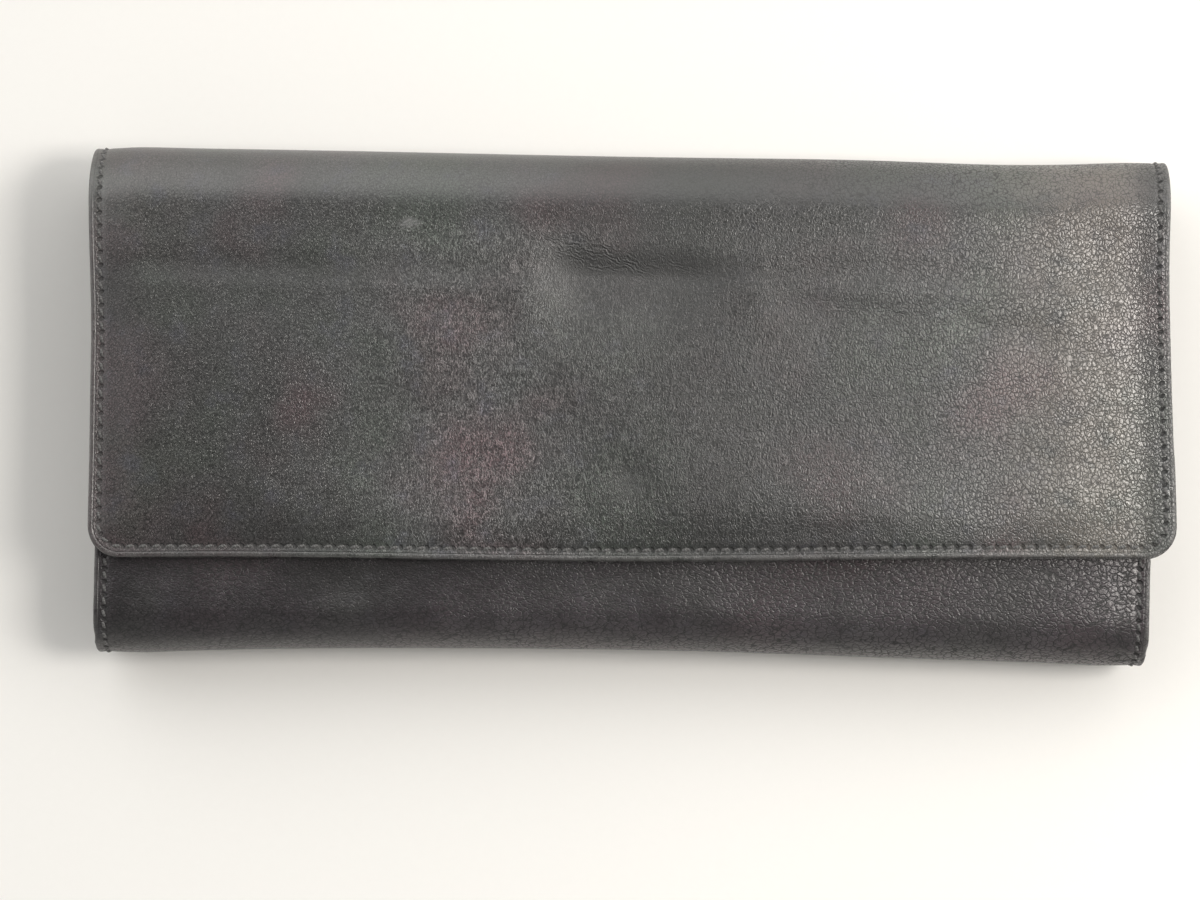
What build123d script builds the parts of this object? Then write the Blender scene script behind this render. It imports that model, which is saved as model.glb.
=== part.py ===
from build123d import *
import os

# Long flap wallet, closed and lying on its back, in millimetres.
# +X runs along the wallet, +Y points to the top fold and +Z out of the front.
# The origin is the centre of the back face. Heights along Z stack up from the back leather.

os.makedirs("parts", exist_ok=True)

# Outline
FLAP_WIDTH = 198.0
BODY_WIDTH = 193.6
HEIGHT = 94.0
FRONT_TOP_Y = 24.0  # top edge of the front panel, under the flap
FLAP_EDGE_Y = -27.8  # free edge of the flap at its middle
FLAP_EDGE_SKEW = 1.2  # the free edge hangs lower at the left end and higher at the right
FLAP_CORNER = 6.0
FRONT_CORNER = 3.0

# Sheet thicknesses
LEATHER = 1.2
LINING = 0.3
CARD_LEAF = 0.4
POCKET_WALL = 0.6
STIFFENER = 0.6
FACING = 0.55
COMPARTMENT = 4.5
FLAP_GAP = 0.45
STIFFENER_MARGIN = 4.5
STIFFENER_SETBACK = 4.0  # from the start of the top fold

# Heights of the layers, from the table up
BACK_LINING_Z = LEATHER
CARDS_Z = BACK_LINING_Z + LINING
CARD_LEAVES = 3
BILLS_Z = CARDS_Z + CARD_LEAVES * CARD_LEAF
COIN_BACK_Z = BILLS_Z + COMPARTMENT
COIN_INSIDE_Z = COIN_BACK_Z + POCKET_WALL
COIN_FRONT_Z = COIN_INSIDE_Z + COMPARTMENT
FRONT_GAP_Z = COIN_FRONT_Z + POCKET_WALL
FRONT_LINING_Z = FRONT_GAP_Z + COMPARTMENT
FRONT_LEATHER_Z = FRONT_LINING_Z + LINING
FRONT_Z = FRONT_LEATHER_Z + LEATHER
FACING_Z = FRONT_Z + FLAP_GAP
FLAP_LINING_Z = FACING_Z + FACING
STIFFENER_Z = FLAP_LINING_Z + LINING
FLAP_LEATHER_Z = STIFFENER_Z + STIFFENER
THICKNESS = FLAP_LEATHER_Z + LEATHER

# Folds: half rounds about lines along X
TOP_RADIUS = THICKNESS / 2
TOP_FOLD = (HEIGHT / 2 - TOP_RADIUS, TOP_RADIUS)
BOTTOM_RADIUS = FRONT_Z / 2
BOTTOM_FOLD = (BOTTOM_RADIUS - HEIGHT / 2, BOTTOM_RADIUS)
FOLD_SPLIT = 45.0  # the spine covers this much of the top fold on each side of its crest
FOLD_SLIT = 0.6  # degrees left free on each side of a bend line

# Side gussets
GUSSET_SHEET = 0.3
GUSSET_DEPTH = 12.0
GUSSET_CLEARANCE = 0.05
GUSSET_RIM_INSET = 0.5  # from the side of the coin pocket to the gusset's glued edges
GUSSET_CREASE = 2.0  # length of the folded edge where both legs of a gusset touch
GUSSET_DROP = 1.0  # below the coin pocket's seam
GUSSET_BOTTOM_Y = -34.5

# Card leaves on the back lining
CARDS_WIDTH = 186.0
CARDS_BOTTOM_Y = -30.0
CARDS_TOP_Y = 33.0
CARDS_STEP = 7.0

# Zipped coin pocket
COIN_WIDTH = 190.0
COIN_TOP_Y = 14.0
COIN_BOTTOM_Y = -35.0
COIN_MIDDLE_Z = (COIN_INSIDE_Z + COIN_FRONT_Z) / 2
COIN_RADIUS = (FRONT_GAP_Z - COIN_BACK_Z) / 2
COIN_SEAM_INSET = 2.0
COIN_SEAM_Y = COIN_TOP_Y - COIN_SEAM_INSET

# Zip
TAPE = 0.35
TAPE_LENGTH = 168.0
TAPE_FOOT_Y = 9.0
TAPE_TOP_Y = 17.1
TAPE_REACH = 1.75  # from the pocket wall to the edge that carries the teeth
TOOTH_PITCH = 2.2
TOOTH_LENGTH = 0.9
TOOTH_COUNT = 67
TOOTH_HALF = 0.675
TOOTH_OVERLAP = 0.35
TOOTH_GRIP = 0.45  # how far each tooth clasps its tape
TEETH_START_X = -76.0
STOP_LENGTH = 2.0
STOP_HEIGHT = 0.8
TOP_STOP_WIDTH = 0.8
TOP_STOP_GAP = 1.0  # between the closed slider and the stops
BOTTOM_STOP_WIDTH = 2.6
STOP_ROUND = 0.25
SLIDER_X = 73.0
SLIDER_LENGTH = 9.0
SLIDER_WIDTH = 5.4
SLIDER_PLATE = 0.8
SLIDER_INNER_WIDTH = 3.2
SLIDER_ROUND = 1.4
TOOTH_CLEARANCE = 0.35
BRIDGE_LENGTH = 1.4
BRIDGE_WIDTH = 1.0
LIP_LENGTH = 5.0
LIP_SHEET = 0.4
LUG_HOLE = 0.8
LUG_HOLE_RISE = 1.0  # centre of the hole above the slider's plate
LUG_HEIGHT = 2.3
LUG_LENGTH = 3.6
LUG_WIDTH = 1.2
LUG_ROUND = 1.0
PIN_RADIUS = 0.5
PULL_LENGTH = 16.0
PULL_WIDTH = 4.0
PULL_SHEET = 0.9
PULL_ARM = 1.0
PULL_SLOT_LENGTH = 5.0
PULL_SLOT_REACH = 1.0  # how far the slot opens past the pin
PULL_ROUND = 1.7
PULL_HOLE = 0.9
PULL_HOLE_INSET = 2.5

# Snap fastener
SNAP_Y = -13.5
SNAP_RADIUS = 6.5
SNAP_WASHER = 0.3
SOCKET_RADIUS = 2.5
SOCKET_DEPTH = 1.0
SOCKET_CHAMFER = 0.2
STUB_RADIUS = 2.0
STUB_REACH = 1.1
STUB_ROUND = 0.35
MALE_RADIUS = 5.5
FACING_TOP_Y = -2.0

# Stitches
STITCH_INSET = 1.95
STITCH_PITCH = 2.4
STITCH_SIZE = (1.7, 0.45, 0.3)
STITCH_SLANT = 12.0
GROOVE_WIDTH = 1.0
GROOVE_DEPTH = 0.35


def save(piece, name):
    """Labels a finished piece and writes its file."""
    piece.part.label = name
    export_step(piece.part, f"parts/{name}.step")


def ring_section(centre, outer, thickness, start, end):
    """Cross-section of a bent sheet: a band of a ring from one angle to another."""
    with BuildSketch() as section:
        with BuildLine():
            outside = CenterArc(centre, outer, start, end - start)
            inside = CenterArc(centre, outer - thickness, start, end - start)
            Line(outside @ 0, inside @ 0)
            Line(outside @ 1, inside @ 1)
        make_face()
    return section.sketch


def slab_section(start_y, end_y, low_z, thickness):
    """Cross-section of a flat sheet lying along Y."""
    with BuildSketch() as section:
        with Locations((start_y, low_z)):
            Rectangle(end_y - start_y, thickness, align=(Align.MIN, Align.MIN))
    return section.sketch


def body_half_width(y):
    """Half the width of the back at a height along Y: it widens towards the top fold."""
    rise = (y + HEIGHT / 2) / HEIGHT
    return (BODY_WIDTH + (FLAP_WIDTH - BODY_WIDTH) * rise) / 2


def back_outline():
    """Outline of the back, from fold to fold."""
    low = body_half_width(-HEIGHT / 2)
    high = body_half_width(HEIGHT / 2)
    with BuildSketch() as outline:
        with BuildLine():
            Polyline(
                (-low, -HEIGHT / 2),
                (low, -HEIGHT / 2),
                (high, HEIGHT / 2),
                (-high, HEIGHT / 2),
                close=True,
            )
        make_face()
    return outline.sketch


def flap_outline(inset=0.0):
    """Outline of the flap, open to the fold, with its skewed free edge and round corners."""
    half = FLAP_WIDTH / 2 - inset
    low = FLAP_EDGE_Y + inset
    with BuildSketch() as outline:
        with BuildLine():
            Polyline(
                (-half, HEIGHT / 2),
                (-half, low - FLAP_EDGE_SKEW),
                (half, low + FLAP_EDGE_SKEW),
                (half, HEIGHT / 2),
                close=True,
            )
        make_face()
        fillet(outline.vertices().filter_by(lambda corner: corner.Y < 0), FLAP_CORNER - inset)
    return outline.sketch


def front_outline(inset=0.0):
    """Outline of the front panel, with small round corners at its top edge."""
    half = BODY_WIDTH / 2 - inset
    high = FRONT_TOP_Y - inset
    with BuildSketch() as outline:
        with BuildLine():
            Polyline(
                (-half, -HEIGHT / 2),
                (half, -HEIGHT / 2),
                (half, high),
                (-half, high),
                close=True,
            )
        make_face()
        fillet(outline.vertices().group_by(Axis.Y)[-1], FRONT_CORNER - inset)
    return outline.sketch


def places_along(path, z):
    """Places of the stitches along a path, each turned to the path's direction."""
    count = round(path.length / STITCH_PITCH)
    places = []
    for index in range(count):
        share = (index + 0.5) / count
        point = path.position_at(share)
        turn = path.tangent_angle_at(share) + STITCH_SLANT
        places.append(Location((point.X, point.Y, z), (0, 0, turn)))
    return places


def flap_seam():
    """The line that the flap's stitches follow round its three free sides."""
    half = FLAP_WIDTH / 2 - STITCH_INSET
    low = FLAP_EDGE_Y + STITCH_INSET
    with BuildLine() as seam:
        FilletPolyline(
            (-half, TOP_FOLD[0]),
            (-half, low - FLAP_EDGE_SKEW),
            (half, low + FLAP_EDGE_SKEW),
            (half, TOP_FOLD[0]),
            radius=FLAP_CORNER - STITCH_INSET,
        )
    return seam.wire()


def front_seam():
    """The line that the front panel's stitches follow up both sides and along its top."""
    half = BODY_WIDTH / 2 - STITCH_INSET
    with BuildLine() as seam:
        FilletPolyline(
            (-half, BOTTOM_FOLD[0]),
            (-half, FRONT_TOP_Y - STITCH_INSET),
            (half, FRONT_TOP_Y - STITCH_INSET),
            (half, BOTTOM_FOLD[0]),
            radius=FRONT_CORNER,
        )
    return seam.wire()


def back_seams():
    """The two lines of stitches along the sides of the back."""
    seams = []
    for side in (-1, 1):
        low = side * (body_half_width(BOTTOM_FOLD[0]) - STITCH_INSET)
        high = side * (body_half_width(TOP_FOLD[0]) - STITCH_INSET)
        with BuildLine() as seam:
            Line((low, BOTTOM_FOLD[0]), (high, TOP_FOLD[0]))
        seams.append(seam.wire())
    return seams


def straight_seam(start, end):
    """A straight line of stitches."""
    with BuildLine() as seam:
        Line(start, end)
    return seam.wire()


# ---- Back: leather, lining, card leaves ----

with BuildPart() as back_leather:
    with BuildSketch(Plane.YZ.offset(-FLAP_WIDTH / 2)):
        add(ring_section(BOTTOM_FOLD, BOTTOM_RADIUS, LEATHER, 180 + FOLD_SLIT, 270))
        add(slab_section(BOTTOM_FOLD[0], TOP_FOLD[0], 0, LEATHER))
        add(ring_section(TOP_FOLD, TOP_RADIUS, LEATHER, 270, 360 - FOLD_SPLIT - FOLD_SLIT))
    extrude(amount=FLAP_WIDTH)
    with BuildSketch():
        add(back_outline())
    extrude(amount=THICKNESS, mode=Mode.INTERSECT)
    for back_seam in back_seams():
        with BuildSketch():
            trace(back_seam, line_width=GROOVE_WIDTH)
        extrude(amount=GROOVE_DEPTH, mode=Mode.SUBTRACT)
save(back_leather, "back_leather")

with BuildPart() as back_lining:
    with BuildSketch(Plane.YZ.offset(-FLAP_WIDTH / 2)):
        add(ring_section(BOTTOM_FOLD, BOTTOM_RADIUS - LEATHER, LINING, 180 + FOLD_SLIT, 270))
        add(slab_section(BOTTOM_FOLD[0], TOP_FOLD[0], BACK_LINING_Z, LINING))
        add(ring_section(TOP_FOLD, TOP_RADIUS - LEATHER, LINING, 270, 360 - FOLD_SPLIT - FOLD_SLIT))
    extrude(amount=FLAP_WIDTH)
    with BuildSketch():
        add(back_outline())
    extrude(amount=THICKNESS, mode=Mode.INTERSECT)
save(back_lining, "back_lining")

for leaf in range(CARD_LEAVES):
    leaf_top = CARDS_TOP_Y - leaf * CARDS_STEP
    with BuildPart() as card_leaf:
        with BuildSketch(Plane.XY.offset(CARDS_Z + leaf * CARD_LEAF)):
            with Locations((0, CARDS_BOTTOM_Y)):
                Rectangle(CARDS_WIDTH, leaf_top - CARDS_BOTTOM_Y, align=(Align.CENTER, Align.MIN))
        extrude(amount=CARD_LEAF)
    save(card_leaf, f"card_leaf_{leaf + 1}")

cards_seam_top = CARDS_TOP_Y - (CARD_LEAVES - 1) * CARDS_STEP
with BuildPart() as card_stitching:
    with Locations(*places_along(straight_seam((0, CARDS_BOTTOM_Y), (0, cards_seam_top)), BILLS_Z)):
        Box(*STITCH_SIZE, align=(Align.CENTER, Align.CENTER, Align.MIN))
save(card_stitching, "card_stitching")

with BuildPart() as back_stitching:
    for back_seam in back_seams():
        with Locations(*places_along(back_seam, GROOVE_DEPTH)):
            Box(*STITCH_SIZE, align=(Align.CENTER, Align.CENTER, Align.MAX))
save(back_stitching, "back_stitching")

# ---- Spine: the middle of the top fold ----

with BuildPart() as spine_leather:
    with BuildSketch(Plane.YZ.offset(-FLAP_WIDTH / 2)):
        add(ring_section(TOP_FOLD, TOP_RADIUS, LEATHER, FOLD_SLIT - FOLD_SPLIT, FOLD_SPLIT - FOLD_SLIT))
    extrude(amount=FLAP_WIDTH)
save(spine_leather, "spine_leather")

with BuildPart() as spine_lining:
    with BuildSketch(Plane.YZ.offset(-FLAP_WIDTH / 2)):
        add(
            ring_section(
                TOP_FOLD, TOP_RADIUS - LEATHER, LINING, FOLD_SLIT - FOLD_SPLIT, FOLD_SPLIT - FOLD_SLIT
            )
        )
    extrude(amount=FLAP_WIDTH)
save(spine_lining, "spine_lining")

# ---- Flap: leather, stiffener, lining, facing and the male half of the snap ----

STIFFENER_TOP_Y = TOP_FOLD[0] - STIFFENER_SETBACK

with BuildPart() as flap_leather:
    with BuildSketch(Plane.YZ.offset(-FLAP_WIDTH / 2)):
        add(ring_section(TOP_FOLD, TOP_RADIUS, LEATHER, FOLD_SPLIT + FOLD_SLIT, 90))
        add(slab_section(-HEIGHT / 2, TOP_FOLD[0], FLAP_LEATHER_Z, LEATHER))
    extrude(amount=FLAP_WIDTH)
    with BuildSketch():
        add(flap_outline())
    extrude(amount=THICKNESS, mode=Mode.INTERSECT)
    with BuildSketch(Plane.XY.offset(THICKNESS - GROOVE_DEPTH)):
        trace(flap_seam(), line_width=GROOVE_WIDTH)
    extrude(amount=GROOVE_DEPTH, mode=Mode.SUBTRACT)
save(flap_leather, "flap_leather")

with BuildPart() as flap_stiffener:
    with BuildSketch(Plane.XY.offset(STIFFENER_Z)):
        add(flap_outline(STIFFENER_MARGIN))
        with Locations((0, STIFFENER_TOP_Y)):
            Rectangle(FLAP_WIDTH, HEIGHT, align=(Align.CENTER, Align.MIN), mode=Mode.SUBTRACT)
        with Locations((0, SNAP_Y)):
            Circle(SNAP_RADIUS, mode=Mode.SUBTRACT)
    extrude(amount=STIFFENER)
save(flap_stiffener, "flap_stiffener")

with BuildPart() as flap_lining:
    with BuildSketch(Plane.YZ.offset(-FLAP_WIDTH / 2)):
        add(ring_section(TOP_FOLD, TOP_RADIUS - LEATHER, LINING, FOLD_SPLIT + FOLD_SLIT, 90))
        with BuildLine():
            Polyline(
                (TOP_FOLD[0], FLAP_LEATHER_Z),
                (TOP_FOLD[0], FLAP_LEATHER_Z - LINING),
                (STIFFENER_TOP_Y, FLAP_LINING_Z),
                (STIFFENER_TOP_Y, FLAP_LINING_Z + LINING),
                close=True,
            )
        make_face()
        add(slab_section(-HEIGHT / 2, STIFFENER_TOP_Y, FLAP_LINING_Z, LINING))
    extrude(amount=FLAP_WIDTH)
    with BuildSketch():
        add(flap_outline())
        with Locations((0, SNAP_Y)):
            Circle(MALE_RADIUS, mode=Mode.SUBTRACT)
    extrude(amount=THICKNESS, mode=Mode.INTERSECT)
save(flap_lining, "flap_lining")

with BuildPart() as flap_facing:
    with BuildSketch(Plane.XY.offset(FACING_Z)):
        add(flap_outline())
        with Locations((0, FACING_TOP_Y)):
            Rectangle(FLAP_WIDTH, HEIGHT, align=(Align.CENTER, Align.MIN), mode=Mode.SUBTRACT)
        with Locations((0, SNAP_Y)):
            Circle(MALE_RADIUS, mode=Mode.SUBTRACT)
    extrude(amount=FACING)
save(flap_facing, "flap_facing")

with BuildPart() as flap_stitching:
    with Locations(*places_along(flap_seam(), THICKNESS - GROOVE_DEPTH)):
        Box(*STITCH_SIZE, align=(Align.CENTER, Align.CENTER, Align.MIN))
save(flap_stitching, "flap_stitching")

with BuildPart() as snap_male:
    with BuildSketch(Plane.XY.offset(FACING_Z)):
        with Locations((0, SNAP_Y)):
            Circle(MALE_RADIUS)
    extrude(amount=STIFFENER_Z - FACING_Z)
    with BuildSketch(Plane.XY.offset(FACING_Z)):
        with Locations((0, SNAP_Y)):
            Circle(STUB_RADIUS)
    extrude(amount=-STUB_REACH)
    fillet(snap_male.edges().filter_by(GeomType.CIRCLE).group_by(Axis.Z)[0], STUB_ROUND)
save(snap_male, "snap_male")

with BuildPart() as snap_male_washer:
    with BuildSketch(Plane.XY.offset(STIFFENER_Z)):
        with Locations((0, SNAP_Y)):
            Circle(SNAP_RADIUS)
    extrude(amount=STIFFENER)
save(snap_male_washer, "snap_male_washer")

# ---- Front panel: leather, lining and the female half of the snap ----

with BuildPart() as front_leather:
    with BuildSketch(Plane.YZ.offset(-BODY_WIDTH / 2)):
        add(ring_section(BOTTOM_FOLD, BOTTOM_RADIUS, LEATHER, 90, 180 - FOLD_SLIT))
        add(slab_section(BOTTOM_FOLD[0], FRONT_TOP_Y, FRONT_LEATHER_Z, LEATHER))
    extrude(amount=BODY_WIDTH)
    with BuildSketch():
        add(front_outline())
        with Locations((0, SNAP_Y)):
            Circle(SNAP_RADIUS, mode=Mode.SUBTRACT)
    extrude(amount=THICKNESS, mode=Mode.INTERSECT)
    with BuildSketch(Plane.XY.offset(FRONT_Z - GROOVE_DEPTH)):
        trace(front_seam(), line_width=GROOVE_WIDTH)
    extrude(amount=GROOVE_DEPTH, mode=Mode.SUBTRACT)
save(front_leather, "front_leather")

with BuildPart() as front_lining:
    with BuildSketch(Plane.YZ.offset(-BODY_WIDTH / 2)):
        add(ring_section(BOTTOM_FOLD, BOTTOM_RADIUS - LEATHER, LINING, 90, 180 - FOLD_SLIT))
        add(slab_section(BOTTOM_FOLD[0], FRONT_TOP_Y, FRONT_LINING_Z, LINING))
    extrude(amount=BODY_WIDTH)
    with BuildSketch():
        add(front_outline())
        with Locations((0, SNAP_Y)):
            Circle(SNAP_RADIUS, mode=Mode.SUBTRACT)
    extrude(amount=THICKNESS, mode=Mode.INTERSECT)
save(front_lining, "front_lining")

with BuildPart() as front_stitching:
    with Locations(*places_along(front_seam(), FRONT_Z - GROOVE_DEPTH)):
        Box(*STITCH_SIZE, align=(Align.CENTER, Align.CENTER, Align.MIN))
save(front_stitching, "front_stitching")

with BuildPart() as snap_female:
    with BuildSketch(Plane.XY.offset(FRONT_LEATHER_Z)):
        with Locations((0, SNAP_Y)):
            Circle(SNAP_RADIUS)
    extrude(amount=LEATHER)
    with BuildSketch(Plane.XY.offset(FRONT_Z - SOCKET_DEPTH)):
        with Locations((0, SNAP_Y)):
            Circle(SOCKET_RADIUS)
    extrude(amount=SOCKET_DEPTH, mode=Mode.SUBTRACT)
    chamfer(snap_female.edges().filter_by(GeomType.CIRCLE).group_by(Axis.Z)[-1], SOCKET_CHAMFER)
save(snap_female, "snap_female")

with BuildPart() as snap_female_washer:
    with BuildSketch(Plane.XY.offset(FRONT_LINING_Z)):
        with Locations((0, SNAP_Y)):
            Circle(SNAP_RADIUS)
    extrude(amount=LINING)
save(snap_female_washer, "snap_female_washer")

# ---- Coin pocket: one folded sheet, its own side gussets and the zip ----

with BuildPart() as coin_pocket_shell:
    with BuildSketch(Plane.YZ.offset(-COIN_WIDTH / 2)):
        add(slab_section(COIN_BOTTOM_Y, COIN_TOP_Y, COIN_BACK_Z, POCKET_WALL))
        add(slab_section(COIN_BOTTOM_Y, COIN_TOP_Y, COIN_FRONT_Z, POCKET_WALL))
        add(ring_section((COIN_BOTTOM_Y, COIN_MIDDLE_Z), COIN_RADIUS, POCKET_WALL, 90, 270))
    extrude(amount=COIN_WIDTH)
save(coin_pocket_shell, "coin_pocket_shell")

with BuildPart() as coin_stitching:
    coin_seam = straight_seam((-TAPE_LENGTH / 2, COIN_SEAM_Y), (TAPE_LENGTH / 2, COIN_SEAM_Y))
    with Locations(*places_along(coin_seam, FRONT_GAP_Z)):
        Box(*STITCH_SIZE, align=(Align.CENTER, Align.CENTER, Align.MIN))
    with Locations(*places_along(coin_seam, COIN_BACK_Z)):
        Box(*STITCH_SIZE, align=(Align.CENTER, Align.CENTER, Align.MAX))
save(coin_stitching, "coin_stitching")

for side, facing in (("back", 1), ("front", -1)):
    wall_z = COIN_INSIDE_Z if side == "back" else COIN_FRONT_Z
    edge_z = wall_z + facing * TAPE_REACH

    with BuildPart() as zip_tape:
        with BuildSketch(Plane.YZ.offset(-TAPE_LENGTH / 2)):
            with BuildLine():
                Polyline(
                    (TAPE_FOOT_Y, wall_z),
                    (TAPE_TOP_Y, wall_z),
                    (TAPE_TOP_Y, edge_z),
                    (TAPE_TOP_Y - TAPE, edge_z),
                    (TAPE_TOP_Y - TAPE, wall_z + facing * TAPE),
                    (TAPE_FOOT_Y, wall_z + facing * TAPE),
                    close=True,
                )
            make_face()
        extrude(amount=TAPE_LENGTH)
    save(zip_tape, f"zip_tape_{side}")

    # Each tooth grips the edge of its tape and reaches past the middle between two others.
    tooth_y = TAPE_TOP_Y - TAPE / 2
    heel_z = edge_z - facing * TOOTH_GRIP
    tip_z = COIN_MIDDLE_Z + facing * TOOTH_OVERLAP
    first_x = TEETH_START_X + (0 if side == "back" else TOOTH_PITCH / 2)
    tooth_places = [(first_x + index * TOOTH_PITCH, 0) for index in range(TOOTH_COUNT)]
    with BuildPart() as tooth:
        with BuildSketch(Plane.YZ.offset(-TOOTH_LENGTH / 2)):
            with BuildLine():
                Polyline(
                    (tooth_y - TOOTH_HALF, heel_z),
                    (tooth_y - TOOTH_HALF, tip_z),
                    (tooth_y + TOOTH_HALF, tip_z),
                    (tooth_y + TOOTH_HALF, heel_z),
                    (TAPE_TOP_Y, heel_z),
                    (TAPE_TOP_Y, edge_z),
                    (TAPE_TOP_Y - TAPE, edge_z),
                    (TAPE_TOP_Y - TAPE, heel_z),
                    close=True,
                )
            make_face()
        extrude(amount=TOOTH_LENGTH)
    with BuildPart() as zip_teeth:
        with Locations(*tooth_places):
            add(tooth.part)
    save(zip_teeth, f"zip_teeth_{side}")

slider_nose_x = SLIDER_X + SLIDER_LENGTH / 2

with BuildPart() as zip_top_stops:
    for facing, edge_z in ((1, COIN_INSIDE_Z + TAPE_REACH), (-1, COIN_FRONT_Z - TAPE_REACH)):
        with BuildSketch(Plane.YZ.offset(slider_nose_x + TOP_STOP_GAP)):
            with Locations((TAPE_TOP_Y, edge_z - facing * TOP_STOP_WIDTH / 2)):
                Rectangle(STOP_HEIGHT, TOP_STOP_WIDTH, align=(Align.MIN, Align.CENTER))
        extrude(amount=STOP_LENGTH)
save(zip_top_stops, "zip_top_stops")

with BuildPart() as zip_bottom_stop:
    with Locations((TEETH_START_X - TOOTH_PITCH, TAPE_TOP_Y, COIN_MIDDLE_Z)):
        Box(STOP_LENGTH, STOP_HEIGHT, BOTTOM_STOP_WIDTH, align=(Align.CENTER, Align.MIN, Align.CENTER))
    fillet(zip_bottom_stop.edges().filter_by(Axis.X), STOP_ROUND)
save(zip_bottom_stop, "zip_bottom_stop")

# ---- Slider and pull ----

PLATE_LOW_Y = tooth_y - TOOTH_HALF - TOOTH_CLEARANCE - SLIDER_PLATE
PLATE_TOP_Y = tooth_y + TOOTH_HALF + TOOTH_CLEARANCE
LUG_Y = PLATE_TOP_Y + SLIDER_PLATE + LUG_HOLE_RISE
LIP_Z = (SLIDER_WIDTH - LIP_SHEET) / 2

with BuildPart() as zip_slider:
    with Locations((SLIDER_X, PLATE_TOP_Y, COIN_MIDDLE_Z)):
        Box(SLIDER_LENGTH, SLIDER_PLATE, SLIDER_WIDTH, align=(Align.CENTER, Align.MIN, Align.CENTER))
    fillet(zip_slider.edges().filter_by(Axis.Y), SLIDER_ROUND)
    with Locations((SLIDER_X, PLATE_LOW_Y, COIN_MIDDLE_Z)):
        Box(SLIDER_LENGTH, SLIDER_PLATE, SLIDER_INNER_WIDTH, align=(Align.CENTER, Align.MIN, Align.CENTER))
    bridge_height = PLATE_TOP_Y - PLATE_LOW_Y
    with Locations((slider_nose_x - BRIDGE_LENGTH, PLATE_LOW_Y, COIN_MIDDLE_Z)):
        Box(BRIDGE_LENGTH, bridge_height, BRIDGE_WIDTH, align=(Align.CENTER, Align.MIN, Align.CENTER))
    for lip in (-1, 1):
        with Locations((SLIDER_X, PLATE_TOP_Y, COIN_MIDDLE_Z + lip * LIP_Z)):
            Box(LIP_LENGTH, LIP_SHEET, LIP_SHEET, align=(Align.CENTER, Align.MAX, Align.CENTER))
    with BuildSketch(Plane.XY.offset(COIN_MIDDLE_Z - LUG_WIDTH / 2)):
        with Locations((SLIDER_X, PLATE_TOP_Y + SLIDER_PLATE)):
            Rectangle(LUG_LENGTH, LUG_HEIGHT, align=(Align.CENTER, Align.MIN))
        fillet(vertices().group_by(Axis.Y)[-1], LUG_ROUND)
        with Locations((SLIDER_X, LUG_Y)):
            Circle(LUG_HOLE, mode=Mode.SUBTRACT)
    extrude(amount=LUG_WIDTH)
save(zip_slider, "zip_slider")

with BuildPart() as zip_pull:
    with BuildSketch(Plane.XZ.offset(-LUG_Y - PULL_SHEET / 2)):
        with Locations((SLIDER_X, COIN_MIDDLE_Z)):
            Rectangle(PULL_LENGTH, PULL_WIDTH, align=(Align.MAX, Align.CENTER))
        fillet(vertices().group_by(Axis.X)[0], PULL_ROUND)
        with Locations((SLIDER_X + PULL_SLOT_REACH, COIN_MIDDLE_Z)):
            slot_width = PULL_WIDTH - 2 * PULL_ARM
            Rectangle(PULL_SLOT_LENGTH, slot_width, align=(Align.MAX, Align.CENTER), mode=Mode.SUBTRACT)
        with Locations((SLIDER_X - PULL_LENGTH + PULL_HOLE_INSET, COIN_MIDDLE_Z)):
            Circle(PULL_HOLE, mode=Mode.SUBTRACT)
    extrude(amount=PULL_SHEET)
    with BuildSketch(Plane.XY.offset(COIN_MIDDLE_Z - PULL_WIDTH / 2)):
        with Locations((SLIDER_X, LUG_Y)):
            Circle(PIN_RADIUS)
    extrude(amount=PULL_WIDTH)
save(zip_pull, "zip_pull")

# ---- Side gussets: folded sheets that let the compartments open ----

GUSSET_RIM_X = COIN_WIDTH / 2 - GUSSET_RIM_INSET

gusset_levels = {
    "bill_gusset": (BILLS_Z, COIN_BACK_Z),
    "coin_gusset": (COIN_INSIDE_Z, COIN_FRONT_Z),
    "front_gusset": (FRONT_GAP_Z, FRONT_LINING_Z),
}
for gusset_name, (low_z, high_z) in gusset_levels.items():
    for end, side in (("left", -1), ("right", 1)):
        rim_x = side * GUSSET_RIM_X
        fold_x = side * (GUSSET_RIM_X - GUSSET_DEPTH)
        floor_z = low_z + GUSSET_CLEARANCE
        roof_z = high_z - GUSSET_CLEARANCE
        middle_z = (low_z + high_z) / 2
        top_y = TAPE_FOOT_Y if gusset_name == "coin_gusset" else COIN_SEAM_Y - GUSSET_DROP
        with BuildPart() as gusset:
            with BuildSketch(Plane.XZ.offset(-top_y)):
                with BuildLine():
                    Polyline(
                        (rim_x, floor_z),
                        (fold_x, middle_z - GUSSET_SHEET / 2),
                        (fold_x, middle_z + GUSSET_SHEET / 2),
                        (rim_x, roof_z),
                        (rim_x, roof_z - GUSSET_SHEET),
                        (fold_x + side * GUSSET_CREASE, middle_z),
                        (rim_x, floor_z + GUSSET_SHEET),
                        close=True,
                    )
                make_face()
            extrude(amount=top_y - GUSSET_BOTTOM_Y)
        save(gusset, f"{gusset_name}_{end}")
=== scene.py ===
import math
from functools import partial

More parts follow.
